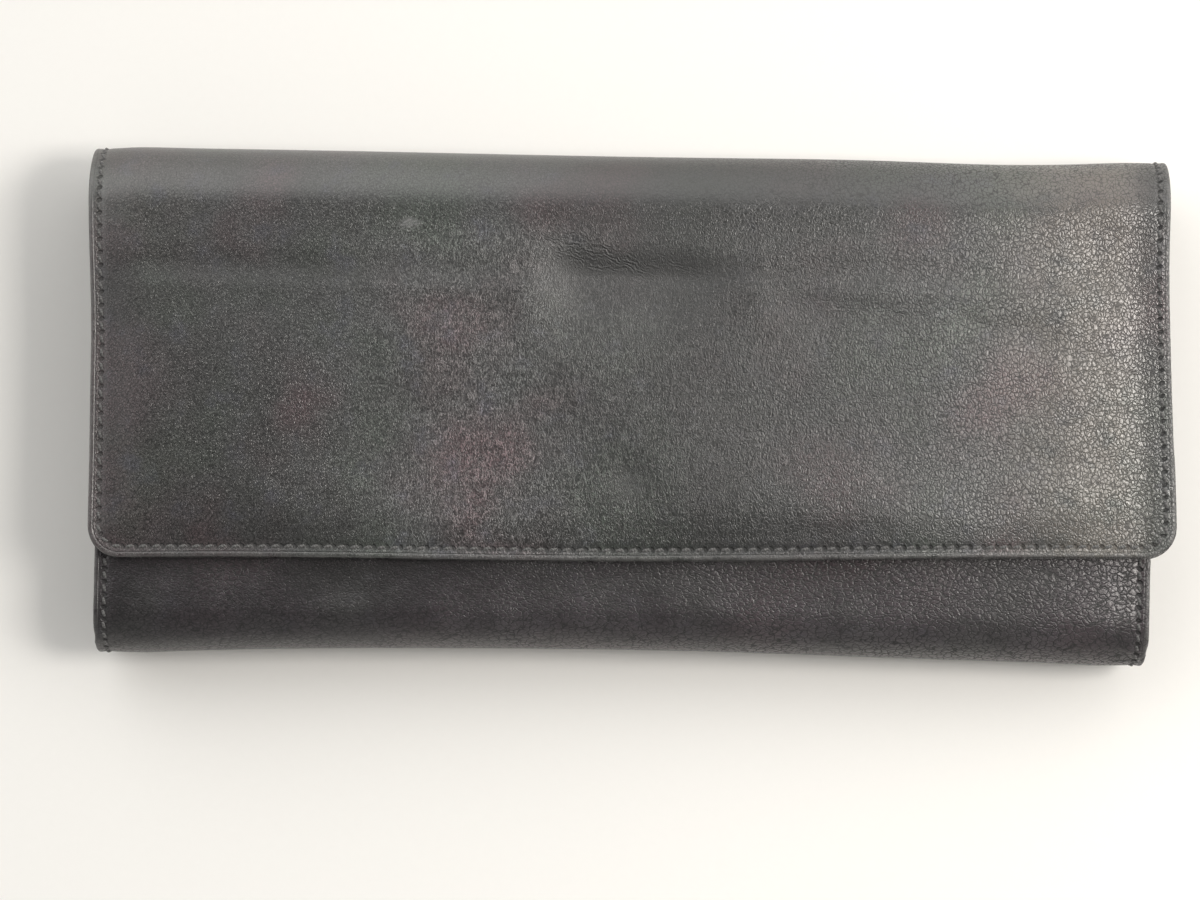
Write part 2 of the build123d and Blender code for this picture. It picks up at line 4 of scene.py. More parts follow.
import bpy
import numpy as np
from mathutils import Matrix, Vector


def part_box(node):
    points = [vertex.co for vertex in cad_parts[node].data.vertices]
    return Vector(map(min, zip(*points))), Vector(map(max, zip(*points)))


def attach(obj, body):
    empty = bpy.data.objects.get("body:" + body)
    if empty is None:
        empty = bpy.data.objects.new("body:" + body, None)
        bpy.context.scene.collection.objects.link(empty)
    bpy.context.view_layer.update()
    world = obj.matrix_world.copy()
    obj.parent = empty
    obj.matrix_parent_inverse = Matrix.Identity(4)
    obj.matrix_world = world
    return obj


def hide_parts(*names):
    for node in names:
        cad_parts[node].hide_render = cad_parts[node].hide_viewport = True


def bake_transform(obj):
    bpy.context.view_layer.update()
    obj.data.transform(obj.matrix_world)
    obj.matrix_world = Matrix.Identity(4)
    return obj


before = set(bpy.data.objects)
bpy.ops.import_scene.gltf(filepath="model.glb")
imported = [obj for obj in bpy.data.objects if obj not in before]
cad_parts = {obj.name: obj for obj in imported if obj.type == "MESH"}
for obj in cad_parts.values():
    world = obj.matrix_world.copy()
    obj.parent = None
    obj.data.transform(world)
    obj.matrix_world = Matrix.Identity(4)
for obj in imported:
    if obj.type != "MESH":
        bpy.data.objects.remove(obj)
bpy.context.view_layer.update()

# Lengths in this file are millimetres until a mesh is made. The frame is in metres.
MM = 0.001
FINE = 1.0


# ---------------------------------------------------------------- sizes from the frame


def node_box(name):
    """Lowest and highest corners of a CAD node in millimetres."""
    low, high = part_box(name)
    return np.array(low) / MM, np.array(high) / MM


flap_low, flap_high = node_box("flap_leather")
_, front_high = node_box("front_leather")
_, spine_high = node_box("spine_leather")
lining_low, _ = node_box("back_lining")
coin_low, coin_high = node_box("coin_pocket_shell")
facing_low, facing_high = node_box("flap_facing")
male_low, male_high = node_box("snap_male")
_, female_high = node_box("snap_female")

FLAP_HALF = flap_high[0]
BODY_HALF = front_high[0]
TOP_Y = spine_high[1]
BOTTOM_Y = -TOP_Y
THICKNESS = flap_high[2]
FRONT_Z = front_high[2]
FRONT_TOP_Y = front_high[1]
FLAP_EDGE_SKEW = 1.2
FLAP_EDGE_Y = flap_low[1] + FLAP_EDGE_SKEW
LEATHER = lining_low[2]
LINING = 0.3
FACING = 0.46
TOP_RADIUS = THICKNESS / 2
BOTTOM_RADIUS = FRONT_Z / 2
COIN_HALF = coin_high[0]
COIN_TOP_Y = coin_high[1]
SNAP_Y = (male_low[1] + male_high[1]) / 2
SNAP_RADIUS = female_high[0]
BACK_SPLIT_Y = -5.0  # where the upper and the lower half of the back meet

FLAP_CORNER = 6.0
FRONT_CORNER = 3.2
SEAM_INSET = 1.95
STITCH_PITCH = 2.4
RIM_LINE = 0.95  # where the turned rim ends
EDGE_ROUND = 0.5
FAR = 9.0  # stands for "no seam or wrinkle near" in the materials' coordinates


# ---------------------------------------------------------------- small maths


def ramp(value, start, end):
    """Smooth step from 0 at start to 1 at end."""
    share = np.clip((np.asarray(value, float) - start) / (end - start), 0, 1)
    return share * share * (3 - 2 * share)


def bell(value, width):
    """Smooth bump of height 1 at zero."""
    return np.exp(-((np.asarray(value, float) / width) ** 2))


RIPPLE_WAVES = 7


def ripple(x, y, wavelength, seed):
    """Smooth, repeatable unevenness of about unit size with roughly one wavelength."""
    draw = np.random.default_rng(seed)
    total = np.zeros(np.broadcast(x, y).shape)
    for _ in range(RIPPLE_WAVES):
        angle = draw.uniform(0, 2 * math.pi)
        phase = draw.uniform(0, 2 * math.pi)
        turns = 2 * math.pi / (wavelength * draw.uniform(0.7, 1.5))
        total += np.sin(turns * (x * math.cos(angle) + y * math.sin(angle)) + phase)
    return total / math.sqrt(RIPPLE_WAVES)


EDGE_LINES = np.array(
    [0, 0.05, 0.16, 0.32, 0.55, 0.85, 1.2, 1.55, 1.9, 2.2, 2.5, 2.85, 3.2, 3.7, 4.4, 5.2, 6.0]
)
CREST_LINES = np.array([0, 0.1, 0.3, 0.6, 1.0])


def mesh_lines(length, step, start=None, end=None):
    """Positions of mesh lines from 0 to length, with given close lines at either end."""
    head = np.array([0.0]) if start is None else start
    tail = np.array([0.0]) if end is None else end
    middle_start, middle_end = head[-1], length - tail[-1]
    count = max(1, round((middle_end - middle_start) / step))
    middle = np.linspace(middle_start, middle_end, count + 1)
    return np.concatenate([head[:-1], middle, (length - tail[::-1])[1:]])


# ---------------------------------------------------------------- making meshes


def make_object(name, points, faces, material, smooth_angle=40):
    """A mesh object from points in millimetres."""
    mesh = bpy.data.meshes.new(name)
    mesh.from_pydata((np.asarray(points) * MM).tolist(), [], faces)
    mesh.materials.append(material)
    mesh.polygons.foreach_set("use_smooth", np.ones(len(mesh.polygons), bool))
    mesh.update()
    mesh.set_sharp_from_angle(angle=math.radians(smooth_angle))
    piece = bpy.data.objects.new(name, mesh)
    bpy.context.scene.collection.objects.link(piece)
    return piece


def set_vectors(piece, name, values):
    """Stores one vector per point on the mesh, for its material to read."""
    attribute = piece.data.attributes.new(name, "FLOAT_VECTOR", "POINT")
    attribute.data.foreach_set("vector", np.asarray(values, np.float32).ravel())


def surface_normals(points):
    """Unit normals of a grid of points, from its neighbours."""
    along = np.gradient(points, axis=0)
    across = np.gradient(points, axis=1)
    normals = np.cross(along, across)
    return normals / np.maximum(np.linalg.norm(normals, axis=2, keepdims=True), 1e-9)


def grid_faces(rows, columns, offset=0, flip=False):
    """Quads of a grid whose points are numbered row by row."""
    first = (np.arange(rows - 1)[:, None] * columns + np.arange(columns - 1)[None, :]).ravel() + offset
    quads = np.stack([first, first + columns, first + columns + 1, first + 1], axis=1)
    return quads[:, ::-1] if flip else quads


def border(rows, columns):
    """Numbers of the points round a grid, in order."""
    top = list(range(columns))
    right = [row * columns + columns - 1 for row in range(1, rows)]
    bottom = [(rows - 1) * columns + column for column in range(columns - 2, -1, -1)]
    left = [row * columns for row in range(rows - 2, 0, -1)]
    return top + right + bottom + left


def plain_fields(across, along, edge):
    """The fields of a sheet with no seam and no wrinkles."""
    far, zero = np.full(across.shape, FAR), np.zeros(across.shape)
    return {
        "flat": np.stack([across, along, zero], axis=-1),
        "seam": np.stack([far, far, edge], axis=-1),
        "marks": np.stack([far, zero, zero], axis=-1),
    }


def shell(name, outer, inner, fields, material):
    """A closed sheet between two grids of points; fields are vectors that both sides share."""
    rows, columns = outer.shape[:2]
    count = rows * columns
    points = np.concatenate([outer.reshape(-1, 3), inner.reshape(-1, 3)])
    facing = surface_normals(outer)[rows // 2, columns // 2] @ (outer - inner)[rows // 2, columns // 2]
    flip = facing < 0
    faces = [grid_faces(rows, columns, 0, flip), grid_faces(rows, columns, count, not flip)]
    ring = np.array(border(rows, columns))
    following = np.roll(ring, -1)
    walls = np.stack([ring, following, following + count, ring + count], axis=1)
    if flip:
        walls = walls[:, ::-1]
    faces.append(walls)
    piece = make_object(name, points, np.concatenate(faces).tolist(), material)
    for field, values in fields.items():
        set_vectors(piece, field, np.concatenate([values.reshape(-1, 3)] * 2))
    return piece


# ---------------------------------------------------------------- the leather's shape
#
# Every outer piece is a sheet with two coordinates: x across the wallet, and s along the
# leather from the crest of its fold. A fold is a half round; past it the sheet lies flat.


class Fold:
    """Half-round fold about a line along X. towards is +1 at the top fold, -1 at the bottom."""

    def __init__(self, radius, towards):
        self.radius = radius
        self.towards = towards
        self.centre_y = towards * (TOP_Y - radius)
        self.arc = radius * math.pi / 2

    def place(self, s, side):
        """(y, z, normal y, normal z) at a distance s from the crest; side is +1 for the front."""
        turn = np.clip(s / self.radius, 0, math.pi / 2)
        beyond = np.maximum(s - self.arc, 0)
        y = self.centre_y + self.towards * (self.radius * np.cos(turn) - beyond)
        z = self.radius + side * self.radius * np.sin(turn)
        return y, z, self.towards * np.cos(turn), side * np.sin(turn)


TOP_FOLD = Fold(TOP_RADIUS, 1)
BOTTOM_FOLD = Fold(BOTTOM_RADIUS, -1)


def top_sag(x):
    """How far the crest of the top fold sinks in, most near the right end."""
    share = x / FLAP_HALF
    return 0.55 * bell(share - 0.1, 0.55) + 0.95 * bell(share - 0.72, 0.24) - 0.25 * ramp(share, 0.9, 1)


def bottom_sag(x):
    """How far the crest of the bottom fold is pulled in between its flared corners."""
    share = x / BODY_HALF
    return 2.0 * (1 - np.abs(share) ** 2.6) - 0.5 * bell(share - 0.55, 0.3)


def half_width(y):
    """Half the width of the body at a height along Y."""
    rise = np.clip((y - BOTTOM_Y) / (TOP_Y - BOTTOM_Y), 0, 1)
    return BODY_HALF + (FLAP_HALF - BODY_HALF) * rise


SEAM_RISE, SEAM_DEPTH = 0.5, 0.24
RIM_DENT, SWELL = 0.05, 0.12
BODY_SEAM = 0.6  # the body's seams are this much of the flap's


def seam_profile(distance, rise=SEAM_RISE, depth=SEAM_DEPTH):
    """Height of padded leather near a sewn edge: flat rim, groove at the stitches, then puffed."""
    groove = -depth * bell(distance - SEAM_INSET, 0.75)
    rim = -RIM_DENT * bell(distance - RIM_LINE, 0.2)
    swell = SWELL * bell(distance - 11, 5)
    return groove + rim + swell + rise * (ramp(distance, SEAM_INSET - 0.6, 8.5) - 1)


# Creases pressed into the flap: start, end, depth, width above the line and below it, bow.
FLAP_CREASES = [
    ((-18.0, 23.8), (21.0, 23.0), 1.25, 5.2, 8.0, -0.2),
    ((-97.0, 22.0), (-24.0, 21.4), 0.32, 5.0, 7.0, 0.4),
    ((24.0, 20.6), (61.0, 17.0), 0.28, 2.8, 4.0, -0.7),
    ((58.0, 17.2), (84.0, 11.4), 0.26, 2.4, 3.6, 0.5),
    ((30.0, 26.5), (58.0, 24.0), 0.16, 3.0, 4.0, 0.6),
    ((-60.0, -20.0), (-28.0, -25.0), 0.12, 3.0, 3.2, 0.6),
    ((62.0, -8.0), (92.0, -12.0), 0.12, 2.6, 3.0, 0.4),
]
# Bundles of fine wrinkles: start, end, half width of the bundle, strength.
FLAP_WRINKLES = [
    ((-16.5, 31.0), (5.5, 24.0), 2.3, 1.0),
    ((-2.0, 27.5), (17.0, 24.6), 1.3, 0.45),
    ((27.0, 20.3), (62.0, 16.8), 0.9, 0.5),
    ((60.0, 16.9), (84.0, 11.2), 0.8, 0.5),
    ((74.0, 17.4), (93.0, 16.8), 0.35, 0.8),
    ((80.0, 7.1), (96.0, 6.9), 0.35, 0.9),
    ((81.0, -13.7), (96.5, -14.1), 0.35, 0.8),
    ((84.0, 1.6), (95.0, 1.2), 0.3, 0.5),
    ((83.0, 25.4), (96.0, 26.2), 0.35, 0.5),
    ((76.0, 12.4), (96.0, 8.6), 0.5, 0.3),
]


def beside(x, y, start, end, bow):
    """Distance across a bowed line, and a fade towards both its ends."""
    (x0, y0), (x1, y1) = start, end
    length = math.hypot(x1 - x0, y1 - y0)
    ux, uy = (x1 - x0) / length, (y1 - y0) / length
    along = ((x - x0) * ux + (y - y0) * uy) / length
    across = -(x - x0) * uy + (y - y0) * ux - bow * np.sin(np.clip(along, 0, 1) * math.pi)
    return across, ramp(along, -0.08, 0.26) * (1 - ramp(along, 0.66, 1.1))


def crease_height(x, y):
    """Height of all creases, each steep above its line, and the painted shade darkening their steep side.
    """
    height, hollow = np.zeros(x.shape), np.zeros(x.shape)
    for start, end, depth, above, below, bow in FLAP_CREASES:
        across, fade = beside(x, y, start, end, bow)
        across = across + 0.5 * ripple(x, y, 13, 81)
        height -= depth * fade * np.where(across > 0, bell(across, above), bell(across, below))
        # Painted shade: the colour is darkened on the steep side of each crease.
        steep = ramp(across, -0.6, 0.8) * (1 - ramp(across, above * 0.75, above * 1.5))
        steep = np.where(across > 0, np.maximum(steep, 0.4), 0.4) * bell(across, below * 1.6)
        hollow = np.maximum(hollow, min(1.0, depth) * fade * steep)
    return height, hollow


def wrinkle_field(x, y):
    """Signed distance from the strongest bundle of fine wrinkles, and its strength."""
    line, strength = np.full(x.shape, FAR), np.zeros(x.shape)
    for start, end, width, most in FLAP_WRINKLES:
        across, fade = beside(x, y, start, end, 0.0)
        across = across + 0.3 * ripple(x, y, 6, 82)
        here = most * fade * bell(across, width)
        line = np.where(here > strength, across, line)
        strength = np.maximum(here, strength)
    return line, strength


EDGE_ARCH, INNER_ARCH, SETTLE = 0.85, 1.05, 0.4
FLAP_SAG = 0.7
GAP_SAG = 0.45
LEFT_DROP = 0.3
RIGHT_GROOVE = 0.22
SNAP_DIMPLE, SNAP_HALO = 0.2, 0.04
EDGE_WAVE = 0.22


def flap_height(x, s, y, distance):
    """Height of the flap's outer surface over its base, and its marks: wrinkles and the painted shade in
    the creases and the snap dimple.
    """
    flat = ramp(s, 8, 26)
    from_right = FLAP_HALF - x
    right_end = flat * ramp(from_right, 24, 8)
    # At the right end the leather is pressed nearly flat.
    height = seam_profile(distance, SEAM_RISE - 0.46 * right_end, SEAM_DEPTH - 0.2 * right_end)
    # The flap is arched over the filled body, and most rounded towards its right end.
    arch = EDGE_ARCH * ramp(from_right, 7, 21) + INNER_ARCH * ramp(from_right, 7, 48)
    sag = FLAP_SAG * bell(x + 4, np.where(x < -4, 60, 27))
    height += flat * (arch - SETTLE - RIGHT_GROOVE * bell(from_right - 5.6, 2.6) - sag)
    height += flat * LEFT_DROP * (ramp(FLAP_HALF + x, 2, 30) - 1)
    height += 0.2 * flat * ripple(x, y, 62, 11) * ramp(distance, 2, 12)
    height += 0.06 * flat * ripple(x, y, 24, 12) * ramp(distance, 2, 8)
    height += 0.012 * ripple(x, y, 8, 13) * ramp(distance, 1, 4)
    # Between the top fold and the front panel's edge nothing holds the leather up.
    hollow = ramp(y, FRONT_TOP_Y - 3.5, FRONT_TOP_Y + 1.5) * (1 - ramp(y, 30, 39))
    height -= GAP_SAG * hollow * ramp(distance, 2, 14)
    folds, crease_and_snap_shade = crease_height(x, y)
    height += folds * ramp(distance, 1, 4)
    snap = np.hypot(x + 0.4, y - SNAP_Y - 0.6)
    height += SNAP_HALO * bell(snap - 6, 2.2) - SNAP_DIMPLE * bell(snap, 3.0)
    height += 0.08 * bell(np.hypot(x + 17, (y - 20.6) * 1.1), 6.0)
    # The free edge lifts and dips a little along its length.
    edge = bell(distance, 14) * (1 - ramp(y, -20, 0))
    height += edge * EDGE_WAVE * ripple(x, x * 0, 46, 14)
    # Painted shade: the colour is darkened in the snap's dimple too.
    crease_and_snap_shade = np.maximum(crease_and_snap_shade, 0.45 * bell(snap, 3.2))
    return height, np.stack([*wrinkle_field(x, y), crease_and_snap_shade], axis=-1)


def body_height(x, y, distance, seed):
    """Height of the front or back leather's outer surface over its base."""
    height = BODY_SEAM * seam_profile(distance)
    height += 0.18 * ripple(x, y, 48, seed) * ramp(distance, 1, 10)
    height += 0.05 * ripple(x, y, 14, seed + 1) * ramp(distance, 1, 5)
    height += 0.025 * ripple(x, y, 5.5, seed + 2)
    return height


SNAP_PRESS = 0.38


def pressed_round_snap(x, y, height):
    """The front leather is pressed down where the snap is set into it."""
    snap = np.hypot(x, y - SNAP_Y)
    press = 1 - ramp(snap, SNAP_RADIUS + 0.2, SNAP_RADIUS + 2.6)
    return height * (1 - press) - SNAP_PRESS * press


def corner_pucker(x, s):
    """Wrinkles that run in from the ends of the bottom fold, where the leather is gathered."""
    total = np.zeros(x.shape)
    for side, size in ((-1, 0.7), (1, 1.0)):
        down, inward = s - 3.5, BODY_HALF - side * x + 1.5
        angle = np.arctan2(down, inward)
        reach = np.hypot(down, inward)
        fans = np.sin(angle * 9 + side) + 0.6 * np.sin(angle * 17 + 1.7)
        total += size * 0.16 * fans * bell(reach - 4, 5.5)
    return total


FOLD_SHIFT = 0.4
EDGE_BOW = 0.35
RIGHT_DROP = 0.45
# How far each side of the flap leans to the right towards its free edge, and how far back.
LEFT_LEAN, RIGHT_LEAN = (1.35, 0.15), (2.0, 0.35)


class Sheet:
    """One outer leather piece: where its surface is for any x and s."""

    def __init__(self, fold, side, end_y, free_end, seed):
        self.fold = fold
        self.side = side
        self.free_end = free_end
        self.seed = seed
        self.length = fold.arc + fold.towards * (fold.centre_y - end_y)
        self.is_flap = fold.towards > 0 and side > 0
        self.corner = FLAP_CORNER if self.is_flap else FRONT_CORNER

    def base_half(self, s):
        """Half the sheet's width at s."""
        if self.is_flap:
            return np.full(np.shape(s), FLAP_HALF)
        y = self.fold.place(np.asarray(s, float), self.side)[0]
        if self.side > 0:
            return np.full(np.shape(s), BODY_HALF)
        return half_width(y)

    def edge_distance(self, x, s):
        """Distance to the nearest free edge, following the round corners."""
        sideways = self.base_half(s) - np.abs(x)
        if not self.free_end:
            return sideways
        ahead = self.length - s
        a, b = self.corner - sideways, self.corner - ahead
        rounded = self.corner - np.hypot(np.maximum(a, 0), np.maximum(b, 0))
        return np.where((a > 0) & (b > 0), rounded, np.minimum(sideways, ahead))

    def round_off(self, x, s):
        """Moves a rectangular grid's corner squares into the sheet's round corners."""
        if not self.free_end:
            return x, s
        half = self.base_half(s)
        a = np.abs(x) - (half - self.corner)
        b = s - (self.length - self.corner)
        inside = (a > 0) & (b > 0)
        a_safe, b_safe = np.where(inside, a, 1.0), np.where(inside, b, 1.0)
        most = np.maximum(a_safe, b_safe)
        turn = np.where(
            a_safe >= b_safe,
            math.pi / 4 * b_safe / a_safe,
            math.pi / 2 - math.pi / 4 * a_safe / b_safe,
        )
        new_x = np.sign(x) * (half - self.corner + most * np.cos(turn))
        new_s = self.length - self.corner + most * np.sin(turn)
        return np.where(inside, new_x, x), np.where(inside, new_s, s)

    def base(self, x, s):
        """Points of the undented sheet, and its unit normals."""
        y, z, ny, nz = self.fold.place(s, self.side)
        sag = top_sag(x) if self.fold.towards > 0 else bottom_sag(x)
        y = y - self.fold.towards * sag * (1 - ramp(s, 0, 30))
        # The wallet has gone a little out of square: its top fold lies right of its bottom one.
        x = x + self.fold.towards * FOLD_SHIFT * (1 - ramp(s, 0, 55))
        if self.is_flap:
            # Its free edge runs askew with a slight wave, and both its sides lean right.
            tail = ramp(s, 30, self.length)
            wave = EDGE_BOW * np.cos(x / FLAP_HALF * 4.2)
            y = y + tail * (FLAP_EDGE_SKEW * x / FLAP_HALF - wave)
            z = z - RIGHT_DROP * ramp(s, 12, 28) * np.exp(-np.maximum(FLAP_HALF - x, 0) / 10)
            share = s / self.length
            left = LEFT_LEAN[0] * ramp(share, 0.1, 0.55) - LEFT_LEAN[1] * ramp(share, 0.75, 1)
            right = RIGHT_LEAN[0] * ramp(share, 0.3, 1.1) - RIGHT_LEAN[1] * bell(share - 0.25, 0.2)
            x = x + left * (1 - x / FLAP_HALF) / 2 + right * (1 + x / FLAP_HALF) / 2
        points = np.stack([x + 0 * z, y, z], axis=-1)
        return points, np.stack([0 * z, ny, nz], axis=-1)

    def relief(self, x, s):
        """Height of the outer surface over the base, and its marks for the material."""
        y = self.fold.place(s, self.side)[0]
        distance = self.edge_distance(x, s)
        if self.is_flap:
            height, marks = flap_height(x, s, y, distance)
        else:
            height = body_height(x, y, distance, self.seed)
            marks = plain_fields(x, s, distance)["marks"]
            if self.fold.towards < 0:
                height = height + corner_pucker(x, s)
                if self.side > 0:
                    height = pressed_round_snap(x, y, height)
            if self.side < 0:
                height = np.minimum(height - 0.1, 0)
        # Both sheets of a fold meet at its crest, so there they share one height.
        share = ramp(s, 0, 9)
        height = BODY_SEAM * seam_profile(distance) * (1 - share) + height * share
        return height, marks

    def surface(self, x, s):
        """Points of the outer surface."""
        points, normals = self.base(x, s)
        return points + normals * self.relief(x, s)[0][..., None]

    def frame_at(self, x, s):
        """Points and unit normals of the surface at scattered places."""
        step = 0.25
        here = self.surface(x, s)
        along_x = self.surface(x + step, s) - self.surface(x - step, s)
        along_s = self.surface(x, s + step) - self.surface(x, np.maximum(s - step, 0))
        normal = np.cross(along_x, along_s)
        normal /= np.linalg.norm(normal, axis=-1, keepdims=True)
        facing = np.sum(normal * self.base(x, s)[1], axis=-1, keepdims=True)
        return here, normal * np.sign(facing)

    def seam_coordinates(self, x, s):
        """(stitches along the seam, millimetres across it) for every point of the sheet."""
        across = self.edge_distance(x, s) - SEAM_INSET
        side_run = self.length - self.corner
        corner_run = (self.corner - SEAM_INSET) * math.pi / 2
        half = self.base_half(s)
        flat_run = 2 * (FLAP_HALF if self.is_flap else BODY_HALF) - 2 * self.corner
        total = 2 * side_run + 2 * corner_run + flat_run
        a = np.abs(x) - (half - self.corner)
        b = s - side_run
        turn = np.arctan2(np.maximum(b, 0), np.maximum(a, 1e-6)) / (math.pi / 2)
        first_half = np.where(
            (a > 0) & (b > 0),
            side_run + corner_run * turn,
            np.where(a >= b, s, side_run + corner_run + flat_run / 2 - np.abs(x)),
        )
        if not self.free_end:
            count = round(self.length / STITCH_PITCH)
            return s / self.length * count, across
        along = np.where(x < 0, first_half, total - first_half)
        count = round(total / STITCH_PITCH)
        return along / total * count, across

    def seam_run(self):
        """The free-ended seam's radius at the corners and the lengths of its stretches."""
        radius = self.corner - SEAM_INSET
        half = (FLAP_HALF if self.is_flap else BODY_HALF) - SEAM_INSET
        side_run = self.length - self.corner
        return radius, half, side_run, radius * math.pi / 2, 2 * (half - radius)

    def seam_place(self, along):
        """x and s at lengths along the seam that goes down the left, across and up the right."""
        radius, half, side_run, corner_run, flat_run = self.seam_run()
        total = 2 * side_run + 2 * corner_run + flat_run
        mirrored = along > total / 2
        t = np.where(mirrored, total - along, along)
        turn = np.clip((t - side_run) / radius, 0, math.pi / 2)
        past = np.maximum(t - side_run - corner_run, 0)
        x = -(half - radius) - radius * np.cos(turn) + past
        s = np.minimum(t, side_run) + radius * np.sin(turn)
        return np.where(mirrored, -x, x), s

    def seams(self):
        """Functions from stitch number to x and s, each with its count of stitches."""
        if self.free_end:
            _, _, side_run, corner_run, flat_run = self.seam_run()
            total = 2 * side_run + 2 * corner_run + flat_run
            count = round(total / STITCH_PITCH)
            return [(lambda number: self.seam_place(number * total / count), count)]
        count = round(self.length / STITCH_PITCH)

        def place(side, number):
            s = np.clip(number * self.length / count, 0, self.length)
            return side * (self.base_half(s) - SEAM_INSET), s

        return [(partial(place, -1), count), (partial(place, 1), count)]


FLAP = Sheet(TOP_FOLD, 1, FLAP_EDGE_Y, True, 21)
BACK_UPPER = Sheet(TOP_FOLD, -1, BACK_SPLIT_Y, False, 31)
BACK_LOWER = Sheet(BOTTOM_FOLD, -1, BACK_SPLIT_Y, False, 31)
FRONT = Sheet(BOTTOM_FOLD, 1, FRONT_TOP_Y, True, 41)


def sheet_grid(sheet, step, outset=0.0, start=0.0):
    """x and s of a grid over the sheet, grown past its edges by outset."""
    rows = mesh_lines(sheet.length, step, CREST_LINES, EDGE_LINES if sheet.free_end else CREST_LINES)
    rows = rows[rows >= start]
    across = mesh_lines(2 * FLAP_HALF, step, EDGE_LINES, EDGE_LINES) - FLAP_HALF
    s, across = np.meshgrid(rows, across, indexing="ij")
    # The close lines keep their distance from the edge whatever the width is.
    half = sheet.base_half(s)
    from_edge = FLAP_HALF - np.abs(across)
    close = np.minimum(from_edge, EDGE_LINES[-1])
    rest = (from_edge - close) * (half - EDGE_LINES[-1]) / (FLAP_HALF - EDGE_LINES[-1])
    x, s = sheet.round_off(np.sign(across) * (half - close - rest), s)
    if outset:
        x = x * (half + outset * (ramp(s, start, start + 12) if start else 1)) / half
        if sheet.free_end:
            s = start + (s - start) * (sheet.length + outset - start) / (sheet.length - start)
    return x, s


def edge_rounding(distance):
    """How far the surface drops towards a rounded cut edge."""
    short = np.clip(EDGE_ROUND - distance, 0, EDGE_ROUND)
    return EDGE_ROUND - np.sqrt(EDGE_ROUND**2 - short**2)


DEEP_CREASE = 0.75


def leather_piece(name, sheet, step, material):
    """A closed piece of the outer leather with its fields for the material."""
    x, s = sheet_grid(sheet, step * FINE)
    points, base_normals = sheet.base(x, s)
    height, marks = sheet.relief(x, s)
    surface = points + base_normals * height[..., None]
    normals = surface_normals(surface)
    normals *= np.sign(np.sum(normals * base_normals, axis=-1, keepdims=True))
    distance = np.maximum(sheet.edge_distance(x, s), 0)
    outer = surface - normals * edge_rounding(distance)[..., None]
    # Where a crease is deep, the inside is pushed in too, so the leather keeps some thickness.
    inside = LEATHER + np.maximum(-height - DEEP_CREASE, 0)
    inner = points - base_normals * inside[..., None]
    seam_along, seam_across = sheet.seam_coordinates(x, s)
    run = s * sheet.side
    if sheet.fold.towards < 0:
        run = -run - BACK_UPPER.length - BACK_LOWER.length
    zero = np.zeros(x.shape)
    fields = {
        "flat": np.stack([x, run, zero], axis=-1),
        "seam": np.stack([seam_along, seam_across, distance], axis=-1),
        "marks": marks,
    }
    return shell(name, outer, inner, fields, material)


# ---------------------------------------------------------------- material nodes


class Value:
    """A number in a node tree. Sums and products of values add their own nodes."""

    def __init__(self, nodes, socket):
        self.nodes = nodes
        self.socket = socket

    def __add__(self, other):
        return self.nodes.math("ADD", self, other)

    def __sub__(self, other):
        return self.nodes.math("SUBTRACT", self, other)

    def __rsub__(self, other):
        return self.nodes.math("SUBTRACT", other, self)

    def __mul__(self, other):
        return self.nodes.math("MULTIPLY", self, other)

    def __pow__(self, power):
        return self.nodes.math("POWER", self, power)

    def __abs__(self):
        return self.nodes.math("ABSOLUTE", self)

    __radd__ = __add__
    __rmul__ = __mul__


